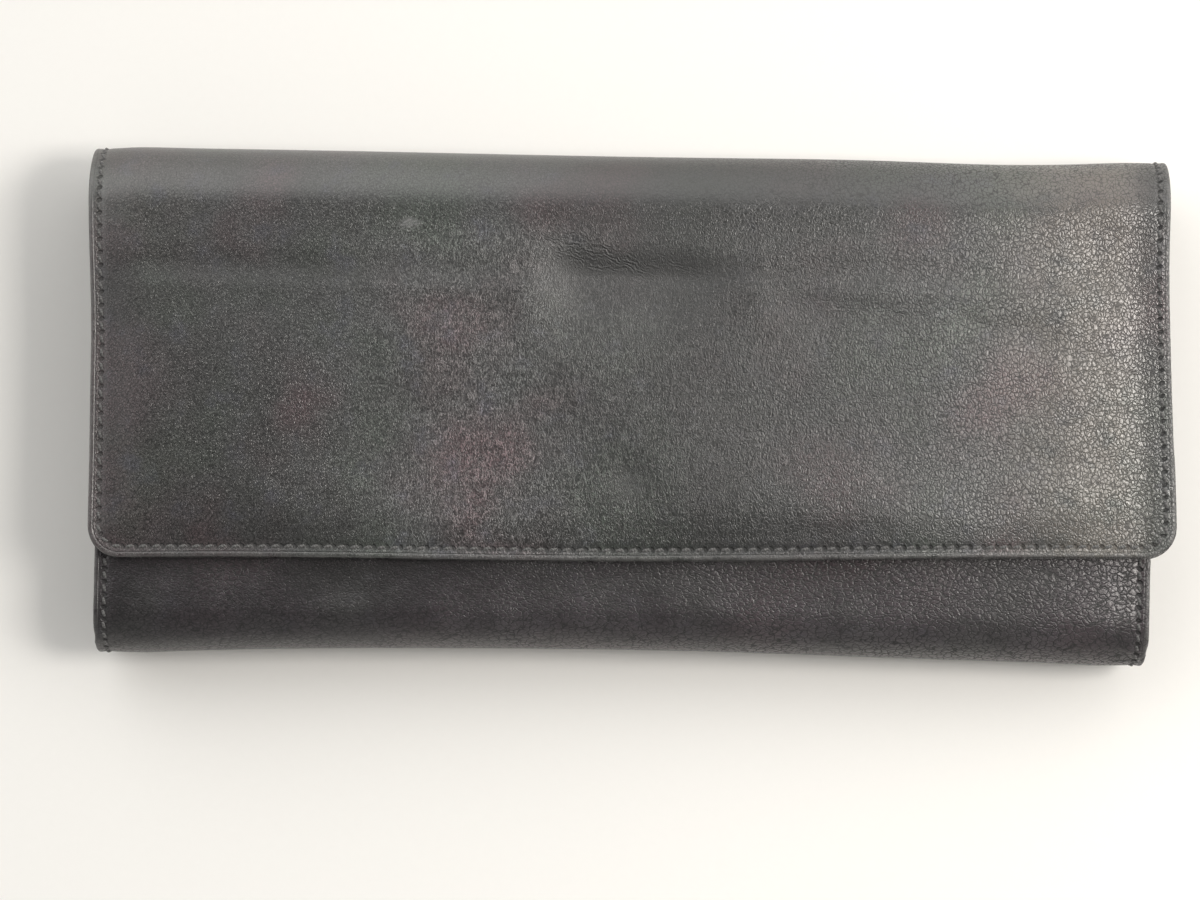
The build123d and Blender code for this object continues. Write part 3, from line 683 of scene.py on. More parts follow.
class Nodes:
    """Short calls for building one material's node tree. Lengths in it are millimetres."""

    def __init__(self, name):
        self.material = bpy.data.materials.new(name)
        self.material.use_nodes = True
        self.tree = self.material.node_tree
        self.shader = self.tree.nodes["Principled BSDF"]

    def put(self, socket, value):
        """Links or sets one input."""
        value = value.socket if isinstance(value, Value) else value
        if isinstance(value, bpy.types.NodeSocket):
            self.tree.links.new(value, socket)
        else:
            socket.default_value = value

    def node(self, kind, *inputs, **settings):
        """A new node with its settings and its first inputs."""
        node = self.tree.nodes.new("ShaderNode" + kind)
        for name, value in settings.items():
            setattr(node, name, value)
        for socket, value in zip(node.inputs, inputs):
            self.put(socket, value)
        return node

    def attribute(self, name):
        return self.node("Attribute", attribute_name=name).outputs["Vector"]

    def object_mm(self):
        """The object's own coordinates in millimetres."""
        return self.stretch(self.node("TexCoord").outputs["Object"], (1 / MM, 1 / MM, 1 / MM))

    def split(self, vector):
        return [Value(self, socket) for socket in self.node("SeparateXYZ", vector).outputs]

    def vector(self, operation, a, b):
        return self.node("VectorMath", a, b, operation=operation).outputs[0]

    def stretch(self, vector, factors):
        return self.vector("MULTIPLY", vector, factors)

    def shift(self, vector, by):
        return self.vector("ADD", vector, by)

    def math(self, operation, a, b=0.0):
        return Value(self, self.node("Math", a, b, operation=operation).outputs[0])

    def sine(self, value):
        return self.math("SINE", value)

    def step(self, value, low, high, to_low=0.0, to_high=1.0):
        """Smooth step of value from low to high."""
        node = self.node("MapRange", value, low, high, to_low, to_high, interpolation_type="SMOOTHSTEP")
        return Value(self, node.outputs[0])

    def noise_node(self, vector, scale, detail, roughness):
        node = self.node("TexNoise", vector)
        for name, value in (("Scale", scale), ("Detail", detail), ("Roughness", roughness)):
            node.inputs[name].default_value = value
        return node

    def noise(self, vector, scale, detail=3.0, roughness=0.5):
        return Value(self, self.noise_node(vector, scale, detail, roughness).outputs["Fac"])

    def push(self, vector, scale, detail):
        """Three slow noises as one vector."""
        return self.noise_node(vector, scale, detail, 0.5).outputs["Color"]

    def warp(self, vector, scale, amount):
        """vector pushed about by a slow noise, by up to half of amount."""
        push = self.vector("SUBTRACT", self.push(vector, scale, 2.0), (0.5, 0.5, 0.5))
        return self.shift(vector, self.stretch(push, (amount, amount, amount)))

    def cells(self, vector):
        """Distance to the outline of cells of about unit size."""
        node = self.node("TexVoronoi", vector, feature="DISTANCE_TO_EDGE")
        node.inputs["Scale"].default_value = 1.0
        return Value(self, node.outputs["Distance"])

    def blend(self, factor, a, b):
        """Colour a where factor is 0, b where it is 1."""
        node = self.node("Mix", factor, data_type="RGBA")
        self.put(node.inputs[6], a)
        self.put(node.inputs[7], b)
        return node.outputs[2]

    def shade(self, colour, amount):
        """Colour times a grey amount."""
        return self.stretch(colour, self.node("CombineXYZ", amount, amount, amount).outputs[0])

    def finish(self, colour, roughness, height, **constants):
        """Feeds the shader; constants are set on its own sockets. height becomes bumps."""
        self.put(self.shader.inputs["Base Color"], colour)
        self.put(self.shader.inputs["Roughness"], roughness)
        for name, value in constants.items():
            self.shader.inputs[name.replace("_", " ")].default_value = value
        bump = self.node("Bump")
        bump.inputs["Distance"].default_value = MM
        self.put(bump.inputs["Height"], height)
        self.put(self.shader.inputs["Normal"], bump.outputs[0])
        return self.material


def grey(level, warmth=0.0):
    """A near-neutral colour; warmth above zero leans to red, below zero to blue."""
    return (level * (1 + warmth), level, level * (1 - warmth), 1)


def hued(level, red, green, blue):
    return (level * red, level * green, level * blue, 1)


FULL_TURN = 2 * math.pi
WRINKLE_PITCH = 0.8
# How much the coordinates are stretched for the large and the small pebbles, and the streaks.
WORN_GRAIN = ((1.45, 1.2, 1), (2.9, 1.7, 1), (1.9, 0.6, 1))
PLAIN_GRAIN = ((0.75, 1.1, 1), (1.4, 2.0, 1), (0.4, 1.0, 1))


def leather_material(name, level, shine, worn):
    """Aged grained leather with painted shade in its crevices, creases and seam. The worn one has zones of
    coarse and streaked grain, scuffs, painted glints on its flex creases, painted light and shade along
    its length and a painted highlight at its right end.
    """
    n = Nodes(name)
    flat = n.attribute("flat")
    x, run, _ = n.split(flat)
    along, across, rim = n.split(n.attribute("seam"))
    # hollow carries the painted shade of the creases and the snap dimple.
    line, strength, hollow = n.split(n.attribute("marks"))
    large_stretch, small_stretch, streak_stretch = WORN_GRAIN if worn else PLAIN_GRAIN

    # Grain: pebbles of two sizes with wandering outlines, and fine pores between them.
    large = n.cells(n.stretch(n.warp(flat, 0.55, 1.3), large_stretch))
    small = n.cells(n.warp(n.stretch(flat, small_stretch), 0.9, 1.2))
    pores = n.noise(flat, 4.6, 3.0, 0.65)
    large_top = n.step(large, 0.0, 0.4)
    small_top = n.step(small, 0.0, 0.42)
    crevice = n.step(large, 0.0, 0.13)
    patchy = n.noise(flat, 0.09, 2.0)
    uneven = n.noise(flat, 0.75, 2.0) + 0.45
    if worn:
        # The grain is tight at the left end and opens up towards the right end.
        open_grain = n.step(x + patchy * 60, 0.0, 108.0)
    else:
        open_grain = n.step(patchy + x * 0.0022, 0.3, 0.72, 0.3, 1.0)
    height = large_top * uneven * (open_grain * 0.016 + 0.005)
    height += crevice * uneven * open_grain * 0.036
    height += small_top * uneven * (0.026 - open_grain * 0.006) + pores * 0.012

    # Short creases where the leather has flexed, running mostly along the folding direction.
    if worn:
        streaks = n.noise(n.warp(n.stretch(flat, streak_stretch), 0.6, 1.1), 1.0, 2.0)
        middle = n.step(x, -70.0, -20.0) * n.step(x, 100.0, 50.0, 0.25, 1.0)
        where = middle * n.step(run, 16.0, 24.0)
    else:
        streaks = n.noise(n.warp(n.stretch(flat, streak_stretch), 0.5, 1.2), 1.0, 2.0)
        where = n.step(patchy, 0.3, 0.6)
    ridge = abs(streaks - 0.5)
    sparse = n.step(n.noise(n.shift(flat, (9, 4, 0)), 0.55, 2.0), 0.4, 0.55)
    filament_and_glint = n.step(ridge, 0.048, 0.0) * where * sparse
    height += n.step(ridge, 0.0, 0.06) * where * 0.02 + filament_and_glint * 0.033

    # Fine wrinkles beside the creases.
    wrinkle = n.sine(line * (FULL_TURN / WRINKLE_PITCH) + n.noise(flat, 0.7, 3.0) * 17.0)
    broken = strength * n.step(n.noise(flat, 0.8, 2.0), 0.35, 0.65)
    height += wrinkle * broken * 0.06
    furrow = n.step(wrinkle, -0.3, -1.0) * broken

    # Needle holes along the seam, and the line where the rim is turned over.
    to_hole = n.math("FRACT", along + 0.5) - 0.5
    leaning = across + to_hole * (STITCH_PITCH * 0.45)
    hole_distance = n.math("SQRT", (to_hole * STITCH_PITCH) ** 2.0 + (leaning * 0.85) ** 2.0)
    hole = n.step(hole_distance, 0.55, 0.25)
    groove = n.step(abs(across), 0.8, 0.1)
    turned = n.step(abs(rim - RIM_LINE), 0.2, 0.05)
    height += hole * -0.22 + turned * -0.05

    # Colour: blotches of faint hue.
    blotch = n.noise(flat, 0.045, 3.0, 0.55)
    hue = n.noise(n.shift(flat, (70, 30, 0)), 0.034, 3.0, 0.5)
    cloud = n.noise(flat, 0.16, 4.0, 0.6)
    colour = n.blend(n.step(blotch, 0.3, 0.7), grey(level * 0.8, 0.02), grey(level * 1.25, -0.01))
    if not worn:
        colour = n.blend(0.8, colour, hued(level, 1.16, 0.95, 1.1))
    tint = 0.9 if worn else 0.35
    redder = n.step(hue, 0.48, 0.7, 0.0, tint)
    if worn:
        left_end = n.step(x, -72.0, -98.0) * n.step(blotch, 0.3, 0.6) * 0.6
        redder = n.math("MAXIMUM", redder, left_end)
    colour = n.blend(redder, colour, hued(level, 1.6, 0.98, 1.08))
    colour = n.blend(n.step(hue, 0.52, 0.3, 0.0, tint), colour, hued(level, 0.98, 1.2, 0.98))
    bluer = n.step(cloud, 0.52, 0.74, 0.0, tint * 0.65)
    colour = n.blend(bluer, colour, hued(level, 0.96, 0.98, 1.35))

    # Colour: paler pebble tops, random speckle, painted light on the open-grained right end, and painted
    # shade in the crevices, crease hollows, the seam groove and the valley inside it, wrinkle furrows, the
    # turned rim line and the needle holes.
    crevice_shade = (crevice - 0.85) * uneven * (open_grain * 1.05 + 0.35)
    grain_tone_light_and_shade = open_grain * 0.55 + crevice_shade + small_top * 0.5 + cloud * 0.2
    # Painted highlight: the flex creases' ridges are brightened in the colour as glints.
    grain_tone_light_and_shade += n.noise(flat, 2.9, 2.0, 0.7) * 1.55 + filament_and_glint * (1.7 if worn else 0.35)
    colour = n.shade(colour, n.math("MAXIMUM", grain_tone_light_and_shade - 0.44, 0.12))
    # Painted shade in a valley just inside the seam, deeper towards the right end.
    seam_valley_shade = n.step(abs(across - 2.6), 2.8, 0.6) * n.step(x, 40.0, 90.0, 0.6, 1.5)
    painted_shade = groove * 0.06 + furrow * 0.35 + turned * 0.35 + seam_valley_shade * 0.22 + hollow
    # Painted shade in the needle holes, darker towards the right end.
    hole_shade = 1.0 + hole * n.step(x, -70.0, 95.0, -0.55, -0.9)
    colour = n.shade(colour, (1.0 - painted_shade) * hole_shade)

    # Painted highlight at the right end, painted light and shade along the flap, and the rim where the dye
    # has rubbed off the edge of the leather.
    if worn:
        # Painted highlight: a pale warm patch near the right end, strongest on the pebble tops.
        end = n.step(x, 58.0, 87.0) * n.step(x, 97.0, 88.0) * n.step(cloud, 0.25, 0.55)
        end *= crevice * 0.65 + 0.35
        colour = n.blend(end * 0.75, colour, hued(level, 3.4, 2.95, 2.5))
        # Painted light and shade along the flap: paler at the left end, darker in the middle, paler again
        # at the right.
        painted_light_by_x = n.step(x, -40.0, 15.0, 1.95, 0.45) + n.step(x, 25.0, 75.0, 0.0, 0.7)
        colour = n.shade(colour, painted_light_by_x)
    rub = n.step(rim, 1.25, 0.2) * n.step(n.noise(flat, 0.5, 4.0), 0.28, 0.6)
    rub *= n.step(x, -40.0, 90.0, 0.5, 0.95)
    colour = n.blend(rub, colour, grey(level * 2.8, 0.02))
    roughness = cloud * 0.1 + pores * 0.06 + rub * 0.12 + hole * 0.4 + 0.27
    roughness += large_top * open_grain * -0.06 + groove * 0.05
    roughness += (1.0 - crevice) * open_grain * 0.35 + hollow * 0.22
    if worn:
        pale = scuffs(n, flat, x, run)
        colour = n.blend(pale, colour, grey(level * 4.5))
        roughness += pale * 0.12
    return n.finish(colour, roughness, height, Specular_IOR_Level=shine, IOR=1.58)


RUB_PLACE = (-40.2, 20.3)


def scuffs(n, flat, x, run):
    """How pale the flap is rubbed: one patch, specks near its top left corner, faint scratches."""
    shifted = n.shift(flat, n.stretch(n.push(flat, 0.7, 3.0), (2.2, 1.6, 0)))
    centre = (RUB_PLACE[0] + 1.1, RUB_PLACE[1] + 0.8, 0)
    sideways, down, _ = n.split(n.vector("SUBTRACT", shifted, centre))
    reach = n.math("SQRT", (sideways * 0.55) ** 2.0 + down**2.0)
    rubbed = n.step(n.noise(n.stretch(flat, (1.6, 2.4, 1)), 1.0, 3.0), 0.4, 0.62)
    patch = n.step(reach, 1.5, 0.5) * (rubbed * 0.5 + 0.25)
    corner = n.step(x, -45.0, -70.0) * n.step(run, 24.0, 10.0)
    specks = n.step(n.noise(flat, 1.9, 1.0), 0.73, 0.78) * (corner * 0.5 + 0.03)
    scratch = n.noise(n.stretch(n.warp(flat, 0.05, 9.0), (0.12, 3.2, 1)), 1.0, 2.0)
    scratches = n.step(scratch, 0.68, 0.74) * 0.12
    pale = n.math("MAXIMUM", patch * 1.1, n.math("MAXIMUM", specks, scratches))
    return n.math("MINIMUM", pale, 0.9)


def cloth_material(name, level, rib):
    """Woven lining cloth: fine ribs along the wallet crossed by a finer weft."""
    n = Nodes(name)
    flat = n.attribute("flat")
    x, run, _ = n.split(n.warp(flat, 0.2, 0.25))
    ribs = n.sine(run * (FULL_TURN / rib))
    weft = n.sine(x * (FULL_TURN / (rib * 0.45)))
    fuzz = n.noise(flat, 6.0, 3.0, 0.7)
    blotch = n.noise(flat, 0.06)
    shade = ribs * 0.1 + weft * 0.06 + fuzz * 0.22 + blotch * 0.3 + 0.72
    colour = n.shade(n.blend(blotch, grey(level, 0.03), grey(level * 1.25, -0.02)), shade)
    weave = ribs * 0.03 + weft * 0.012 + fuzz * 0.03
    return n.finish(colour, fuzz * 0.14 + 0.72, weave, Sheen_Weight=0.25, Sheen_Roughness=0.4)


def tape_material(name, level):
    """Herringbone zip tape: twill that turns back on itself in narrow bands."""
    n = Nodes(name)
    flat = n.attribute("flat")
    x, run, _ = n.split(flat)
    twill = n.sine((x + n.math("PINGPONG", run, 1.2) * 1.1) * (FULL_TURN / 0.55))
    yarn = n.sine(run * (FULL_TURN / 0.3))
    fuzz = n.noise(flat, 7.0, 3.0, 0.7)
    shade = twill * 0.14 + yarn * 0.05 + fuzz * 0.25 + 0.75
    colour = n.shade(n.blend(fuzz, grey(level, 0.02), grey(level * 1.2, -0.02)), shade)
    weave = twill * 0.03 + yarn * 0.01 + fuzz * 0.03
    return n.finish(colour, 0.8, weave, Sheen_Weight=0.3, Sheen_Roughness=0.4)


def thread_material(name, level):
    """Twisted sewing thread; its strands wind round its own length."""
    n = Nodes(name)
    strand = n.attribute("strand")
    along, around, _ = n.split(strand)
    strands = n.sine(along * (FULL_TURN / 0.55) + around * FULL_TURN)
    fuzz = n.noise(strand, 5.0, 3.0, 0.7)
    shade = strands * 0.2 + fuzz * 0.4 + 0.7
    colour = n.shade(n.blend(fuzz, grey(level, 0.03), grey(level * 1.7)), shade)
    height = strands * 0.035 + fuzz * 0.02
    return n.finish(colour, 0.62, height, Sheen_Weight=0.2, Sheen_Roughness=0.4)


def metal_material(name, level, warmth, roughness, brush):
    """Plated metal: brushed, with fingerprints, fine scratches and duller low spots."""
    n = Nodes(name)
    place = n.object_mm()
    brushed = n.noise(n.stretch(place, (brush, brush * 12, brush * 12)), 1.0, 3.0, 0.65)
    smudge = n.noise(place, 0.35, 3.0, 0.6)
    scratch = n.noise(n.stretch(n.warp(place, 0.3, 2.0), (0.5, 9, 9)), 1.0, 1.0)
    scratches = n.step(scratch, 0.66, 0.7)
    pits = n.step(n.noise(place, 3.0, 2.0), 0.66, 0.72)
    shade = brushed * 0.18 + smudge * 0.16 + pits * -0.3 + 0.82
    colour = n.shade(n.blend(smudge, grey(level, warmth), grey(level * 0.8, warmth * 1.8)), shade)
    rough = smudge * 0.16 + scratches * 0.15 + pits * 0.2 + roughness
    height = brushed * 0.008 + scratches * -0.008 + pits * -0.02
    return n.finish(colour, rough, height, Metallic=1.0)


def board_material(name):
    """Bonded fibre board: speckled, with loose fibres."""
    n = Nodes(name)
    place = n.object_mm()
    fibres = n.noise(n.stretch(n.warp(place, 0.4, 2.0), (0.7, 4, 4)), 1.0, 3.0, 0.6)
    speck = n.step(n.noise(place, 2.6, 2.0), 0.62, 0.7)
    cloud = n.noise(place, 0.1)
    colour = n.blend(n.step(fibres, 0.3, 0.7), (0.36, 0.3, 0.22, 1), (0.5, 0.43, 0.33, 1))
    colour = n.shade(colour, cloud * 0.3 + speck * -0.35 + 0.85)
    return n.finish(colour, cloud * 0.1 + 0.82, fibres * 0.04 + speck * -0.03)


def floor_material(name):
    """Plain pale table top with a barely uneven surface."""
    n = Nodes(name)
    place = n.object_mm()
    cloud = n.noise(place, 0.004)
    fine = n.noise(place, 0.6, 3.0, 0.6)
    colour = n.blend(cloud, (0.855, 0.845, 0.82, 1), (0.875, 0.865, 0.84, 1))
    colour = n.shade(colour, fine * 0.02 + 0.99)
    return n.finish(colour, cloud * 0.1 + 0.5, fine * 0.01)


FLAP_LEATHER = leather_material("flap_leather_grain", 0.031, 0.87, True)
BODY_LEATHER = leather_material("body_leather_grain", 0.03, 0.6, False)
GUSSET_LEATHER = leather_material("gusset_leather_grain", 0.026, 0.5, False)
FACING_LEATHER = leather_material("facing_leather_grain", 0.032, 0.5, False)
LINING_CLOTH = cloth_material("lining_ribbed_cloth", 0.03, 0.9)
POCKET_CLOTH = cloth_material("pocket_cloth", 0.034, 0.6)
THREAD = thread_material("charcoal_thread", 0.075)
ZIP_TAPE = tape_material("herringbone_tape", 0.026)
ZIP_METAL = metal_material("nickel_zip", 0.6, 0.03, 0.2, 0.8)
SNAP_METAL = metal_material("nickel_snap", 0.55, 0.01, 0.28, 0.6)
WASHER_STEEL = metal_material("pressed_steel", 0.42, 0.0, 0.36, 0.7)
BOARD = board_material("bonded_board")


def join_body(piece, slot, body, *nodes):
    """The piece rides on one body and stands for the named nodes."""
    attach(piece, body)
    if nodes:
        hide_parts(*nodes)
    return piece


def bend_between(piece, slot, bodies, start, end, *nodes):
    """Bakes the piece's placement into its mesh; it stands for the named nodes, which are hidden."""
    [value * MM for value in start]
    [value * MM for value in end]
    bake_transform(piece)
    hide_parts(*nodes)
    return piece


# ---------------------------------------------------------------- outer leather

TOP_CREST = (0, TOP_Y, TOP_RADIUS)
BOTTOM_CREST = (0, BOTTOM_Y, BOTTOM_RADIUS)
# Each entry: two bodies, and a line from the flat part of one panel to the crest of the fold, or back; the
# pieces are not bent along it.
BENDS = {
    "flap": (("spine", "flap"), TOP_CREST, (0, TOP_FOLD.centre_y, THICKNESS)),
    "back_upper": (("back", "spine"), (0, TOP_FOLD.centre_y, 0), TOP_CREST),
    "back_lower": (("back", "coin_pocket"), (0, BOTTOM_FOLD.centre_y, 0), BOTTOM_CREST),
    "front": (("coin_pocket", "front_panel"), BOTTOM_CREST, (0, BOTTOM_FOLD.centre_y, FRONT_Z)),
}
SHEETS = {"flap": FLAP, "back_upper": BACK_UPPER, "back_lower": BACK_LOWER, "front": FRONT}

outer_plan = [
    ("flap", "flap_skin", 0.85, FLAP_LEATHER, ("flap_leather", "spine_leather")),
    ("back_upper", "back_skin_upper", 1.3, BODY_LEATHER, ("back_leather", "spine_leather")),
    ("back_lower", "back_skin_lower", 1.3, BODY_LEATHER, ("back_leather",)),
    ("front", "front_skin", 1.0, BODY_LEATHER, ("front_leather",)),
]
SKINS = {}
for key, name, step, material, nodes in outer_plan:
    SKINS[key] = leather_piece(name, SHEETS[key], step, material)
    bend_between(SKINS[key], "leather", *BENDS[key], *nodes)


# ---------------------------------------------------------------- linings and facing


def under_layer(name, sheet, step, depth, thickness, material, outset, start=0.0):
    """A sheet inside a leather piece; depth(s, distance) is how far its top lies below the base."""
    x, s = sheet_grid(sheet, step * FINE, outset, start)
    distance = sheet.edge_distance(x, s) + outset
    points, normals = sheet.base(x, s)
    from_snap = np.hypot(x, sheet.fold.place(s, sheet.side)[0] - SNAP_Y)
    uneven = np.abs(0.06 * ripple(x, s, 22, sheet.seed + 7)) * ramp(distance, 2, 8)
    uneven = uneven * ramp(from_snap, 6, 14)
    outer = points - normals * (depth(s, distance) + uneven)[..., None]
    inner = outer - normals * thickness
    return shell(name, outer, inner, plain_fields(x, s * sheet.side, distance), material)


# Gaps: leather to flap lining, further down under the board, lining to facing, leather to the rest.
FLAP_GAP, UNDER_BOARD, FACING_GAP, LINING_GAP = 0.2, 0.42, 0.02, 0.08


def flap_lining_depth(s, distance):
    """The flap's lining runs under the board, and rises to the leather past the board's edge."""
    under_board = ramp(s, TOP_FOLD.arc - 3, TOP_FOLD.arc + 5) * ramp(distance, 0.9, 2.6)
    return LEATHER + FLAP_GAP + UNDER_BOARD * under_board


def facing_depth(s, distance):
    return flap_lining_depth(s, distance) + LINING + FACING_GAP


def plain_lining_depth(s, distance):
    return np.full(s.shape, LEATHER + LINING_GAP)


lining_plan = [
    ("flap", "flap_lining_cloth", flap_lining_depth, ("flap_lining", "spine_lining")),
    ("back_upper", "back_lining_cloth_upper", plain_lining_depth, ("back_lining", "spine_lining")),
    ("back_lower", "back_lining_cloth_lower", plain_lining_depth, ("back_lining",)),
    ("front", "front_lining_cloth", plain_lining_depth, ("front_lining",)),
]
for key, name, depth, nodes in lining_plan:
    cloth = under_layer(name, SHEETS[key], 2.4, depth, LINING, LINING_CLOTH, outset=-0.5)
    bend_between(cloth, "lining", *BENDS[key], *nodes)
    widest = 2 * SHEETS[key].base_half(np.array([0.0]))[0]
    (widest - 1) * MM

facing_start = FLAP.length - (facing_high[1] - facing_low[1])
facing = under_layer(
    "flap_facing_band", FLAP, 1.6, facing_depth, FACING, FACING_LEATHER, 0.25, facing_start
)
join_body(facing, "leather", "flap", "flap_facing")


# ---------------------------------------------------------------- stitches

STITCH_HALF = 0.8
STITCH_RADIUS = 0.26
STITCH_SLANT = math.radians(13)
STITCH_LIFT = 0.06
STITCH_DIVE = 0.6
STITCH_RINGS = 9
STITCH_SIDES = 8


def thread_mesh(name, centres, normals, tangents):
    """Stitches as one mesh. centres has STITCH_RINGS points for each stitch."""
    count = len(centres)
    across = np.cross(normals, tangents)
    share = np.linspace(-1, 1, STITCH_RINGS)
    radius = STITCH_RADIUS * (1 - np.abs(share) ** 5) ** 0.5 + 0.02
    turn = np.arange(STITCH_SIDES) / STITCH_SIDES * 2 * math.pi
    ring = (
        np.cos(turn)[None, None, :, None] * across[:, :, None, :] * 1.1
        + np.sin(turn)[None, None, :, None] * normals[:, :, None, :]
    )
    points = centres[:, :, None, :] + ring * radius[None, :, None, None]
    first = np.arange(count) * STITCH_RINGS * STITCH_SIDES
    faces = []
    for band in range(STITCH_RINGS - 1):
        for side in range(STITCH_SIDES):
            following = (side + 1) % STITCH_SIDES
            low, high = band * STITCH_SIDES, (band + 1) * STITCH_SIDES
            corners = (low + side, low + following, high + following, high + side)
            faces += np.stack([first + corner for corner in corners], 1).tolist()
    for stitch in first:
        faces.append([int(stitch + side) for side in reversed(range(STITCH_SIDES))])
        last = stitch + (STITCH_RINGS - 1) * STITCH_SIDES
        faces.append([int(last + side) for side in range(STITCH_SIDES)])
    piece = make_object(name, points.reshape(-1, 3), faces, THREAD, smooth_angle=75)
    strand = np.zeros(points.shape)
    strand[..., 0] = (share * STITCH_HALF)[None, :, None] + np.arange(count)[:, None, None] * 3.3
    strand[..., 1] = np.abs(turn / (2 * math.pi) - 0.5)[None, None, :]
    set_vectors(piece, "strand", strand.reshape(-1, 3))
    return piece


def stitch_path():
    """Positions along a stitch, and how high its thread rises over the surface there."""
    share = np.linspace(-1, 1, STITCH_RINGS)
    return share, STITCH_LIFT - STITCH_DIVE * np.abs(share) ** 3.5


def seam_thread(name, sheet):
    """The stitches of a sheet's own seam, lying in its groove."""
    share, lift = stitch_path()
    centres, normals, tangents = [], [], []
    for place, count in sheet.seams():
        number = np.arange(count)[:, None] + 0.5
        x, s = place(number + share[None, :] * STITCH_HALF / STITCH_PITCH)
        s = np.maximum(s, 0.02)
        here, normal = sheet.frame_at(x, s)
        chord = here[:, -1] - here[:, 0]
        chord /= np.linalg.norm(chord, axis=-1, keepdims=True)
        tangent = np.repeat(chord[:, None], STITCH_RINGS, 1)
        side = np.cross(normal, tangent)
        jitter = np.sin(number * 12.9898) * 0.05
        shift = share[None, :] * STITCH_HALF * math.tan(STITCH_SLANT) + jitter
        centres.append(here + normal * lift[None, :, None] + side * shift[..., None])
        normals.append(normal)
        tangents.append(tangent)
    return thread_mesh(name, *(np.concatenate(part) for part in (centres, normals, tangents)))


def straight_thread(name, lines):
    """Stitches along straight lines: (start, end, normal) for each."""
    share, lift = stitch_path()
    centres, normals, tangents = [], [], []
    for start, end, normal in lines:
        start, end, normal = (np.array(v, float) for v in (start, end, normal))
        length = np.linalg.norm(end - start)
        tangent = (end - start) / length
        count = round(length / STITCH_PITCH)
        middle = (np.arange(count) + 0.5) * length / count
        along = middle[:, None] + share[None, :] * STITCH_HALF
        side = np.cross(normal, tangent)
        slant = share * STITCH_HALF * math.tan(STITCH_SLANT)
        centres.append(
            start + along[..., None] * tangent + normal * lift[None, :, None] + side * slant[None, :, None]
        )
        normals.append(np.broadcast_to(normal, centres[-1].shape))
        tangents.append(np.broadcast_to(tangent, centres[-1].shape))
    return thread_mesh(name, *(np.concatenate(part) for part in (centres, normals, tangents)))


thread_plan = [
    ("flap", "flap_seam_thread", "flap_stitching"),
    ("back_upper", "back_seam_thread_upper", "back_stitching"),
    ("back_lower", "back_seam_thread_lower", "back_stitching"),
    ("front", "front_seam_thread", "front_stitching"),
]
for key, name, node in thread_plan:
    bend_between(seam_thread(name, SHEETS[key]), "thread", *BENDS[key], node)


# ---------------------------------------------------------------- inside the wallet


def ribbon(name, path, half, thickness, step, material, uneven, seed, groove=0.0):
    """A sheet that follows a path of (y, z) points and runs straight along X."""
    path = np.array(path, float)
    lengths = np.concatenate([[0], np.cumsum(np.linalg.norm(np.diff(path, axis=0), axis=1))])
    across = mesh_lines(2 * half, step * FINE, EDGE_LINES[:6], EDGE_LINES[:6]) - half
    s, x = np.meshgrid(lengths, across, indexing="ij")
    tangent = np.gradient(path, lengths, axis=0)
    tangent /= np.linalg.norm(tangent, axis=1, keepdims=True)
    zero = np.zeros(x.shape)
    points = np.stack([x, zero + path[:, :1], zero + path[:, 1:]], axis=-1)
    normal = np.stack([zero, zero - tangent[:, 1:], zero + tangent[:, :1]], axis=-1)
    edge = np.minimum(np.minimum(s, lengths[-1] - s), half - np.abs(x))
    bulge = uneven * ripple(x, s, 26, seed) * ramp(edge, 0.5, 6) - groove * bell(x, 0.8)
    short = np.clip(thickness / 2 - edge, 0, thickness / 2)
    rounding = thickness / 2 - np.sqrt((thickness / 2) ** 2 - short**2)
    outer = points + normal * (bulge - rounding)[..., None]
    inner = points + normal * (bulge - thickness + rounding)[..., None]
    return shell(name, outer, inner, plain_fields(x, s, edge), material)


def straight_path(start, end, step=1.6):
    """Points from start to end with close ones at both ends."""
    start, end = np.array(start, float), np.array(end, float)
    length = np.linalg.norm(end - start)
    lines = mesh_lines(length, step * FINE, EDGE_LINES[:6], EDGE_LINES[:6])
    return start + (end - start) * (lines / length)[:, None]


for leaf in (1, 2, 3):
    low, high = node_box(f"card_leaf_{leaf}")
    top = high[2] - 0.02
    path = straight_path((high[1], top), (low[1], top))
    thickness = high[2] - low[2] - 0.05
    card_leaf = ribbon(
        f"card_leaf_cloth_{leaf}", path[::-1], high[0], thickness, 2.4, POCKET_CLOTH, 0.03, leaf + 50, 0.04
    )
    join_body(card_leaf, "lining", "back", f"card_leaf_{leaf}")

card_low, card_high = node_box("card_stitching")
card_thread = straight_thread(
    "card_seam_thread",
    [((0, card_low[1], card_low[2]), (0, card_high[1], card_low[2]), (0, 0, 1))],
)
join_body(card_thread, "thread", "back", "card_stitching")

coin_middle_z = (coin_low[2] + coin_high[2]) / 2
coin_radius = (coin_high[2] - coin_low[2]) / 2
coin_foot_y = coin_low[1] + coin_radius
turn = np.linspace(-math.pi / 2, math.pi / 2, 13)[1:-1]
coin_path = np.concatenate(
    [
        straight_path((COIN_TOP_Y, coin_low[2]), (coin_foot_y, coin_low[2])),
        np.stack(
            [coin_foot_y - coin_radius * np.cos(turn), coin_middle_z + coin_radius * np.sin(turn)], 1
        ),
        straight_path((coin_foot_y, coin_high[2]), (COIN_TOP_Y, coin_high[2])),
    ]
)
coin_cloth = ribbon(
    "coin_pocket_cloth", coin_path, COIN_HALF, 0.58, 2.4, POCKET_CLOTH, 0.03, 61
)
join_body(coin_cloth, "lining", "coin_pocket", "coin_pocket_shell")
coin_length = 2 * (COIN_TOP_Y - coin_foot_y) + math.pi * coin_radius
coin_length * MM

seam_low, seam_high = node_box("coin_stitching")
seam_y = (seam_low[1] + seam_high[1]) / 2
coin_thread = straight_thread(
    "coin_seam_thread",
    [
        ((seam_low[0], seam_y, coin_low[2]), (seam_high[0], seam_y, coin_low[2]), (0, 0, -1)),
        ((seam_low[0], seam_y, coin_high[2]), (seam_high[0], seam_y, coin_high[2]), (0, 0, 1)),
    ],
)
join_body(coin_thread, "thread", "coin_pocket", "coin_stitching")

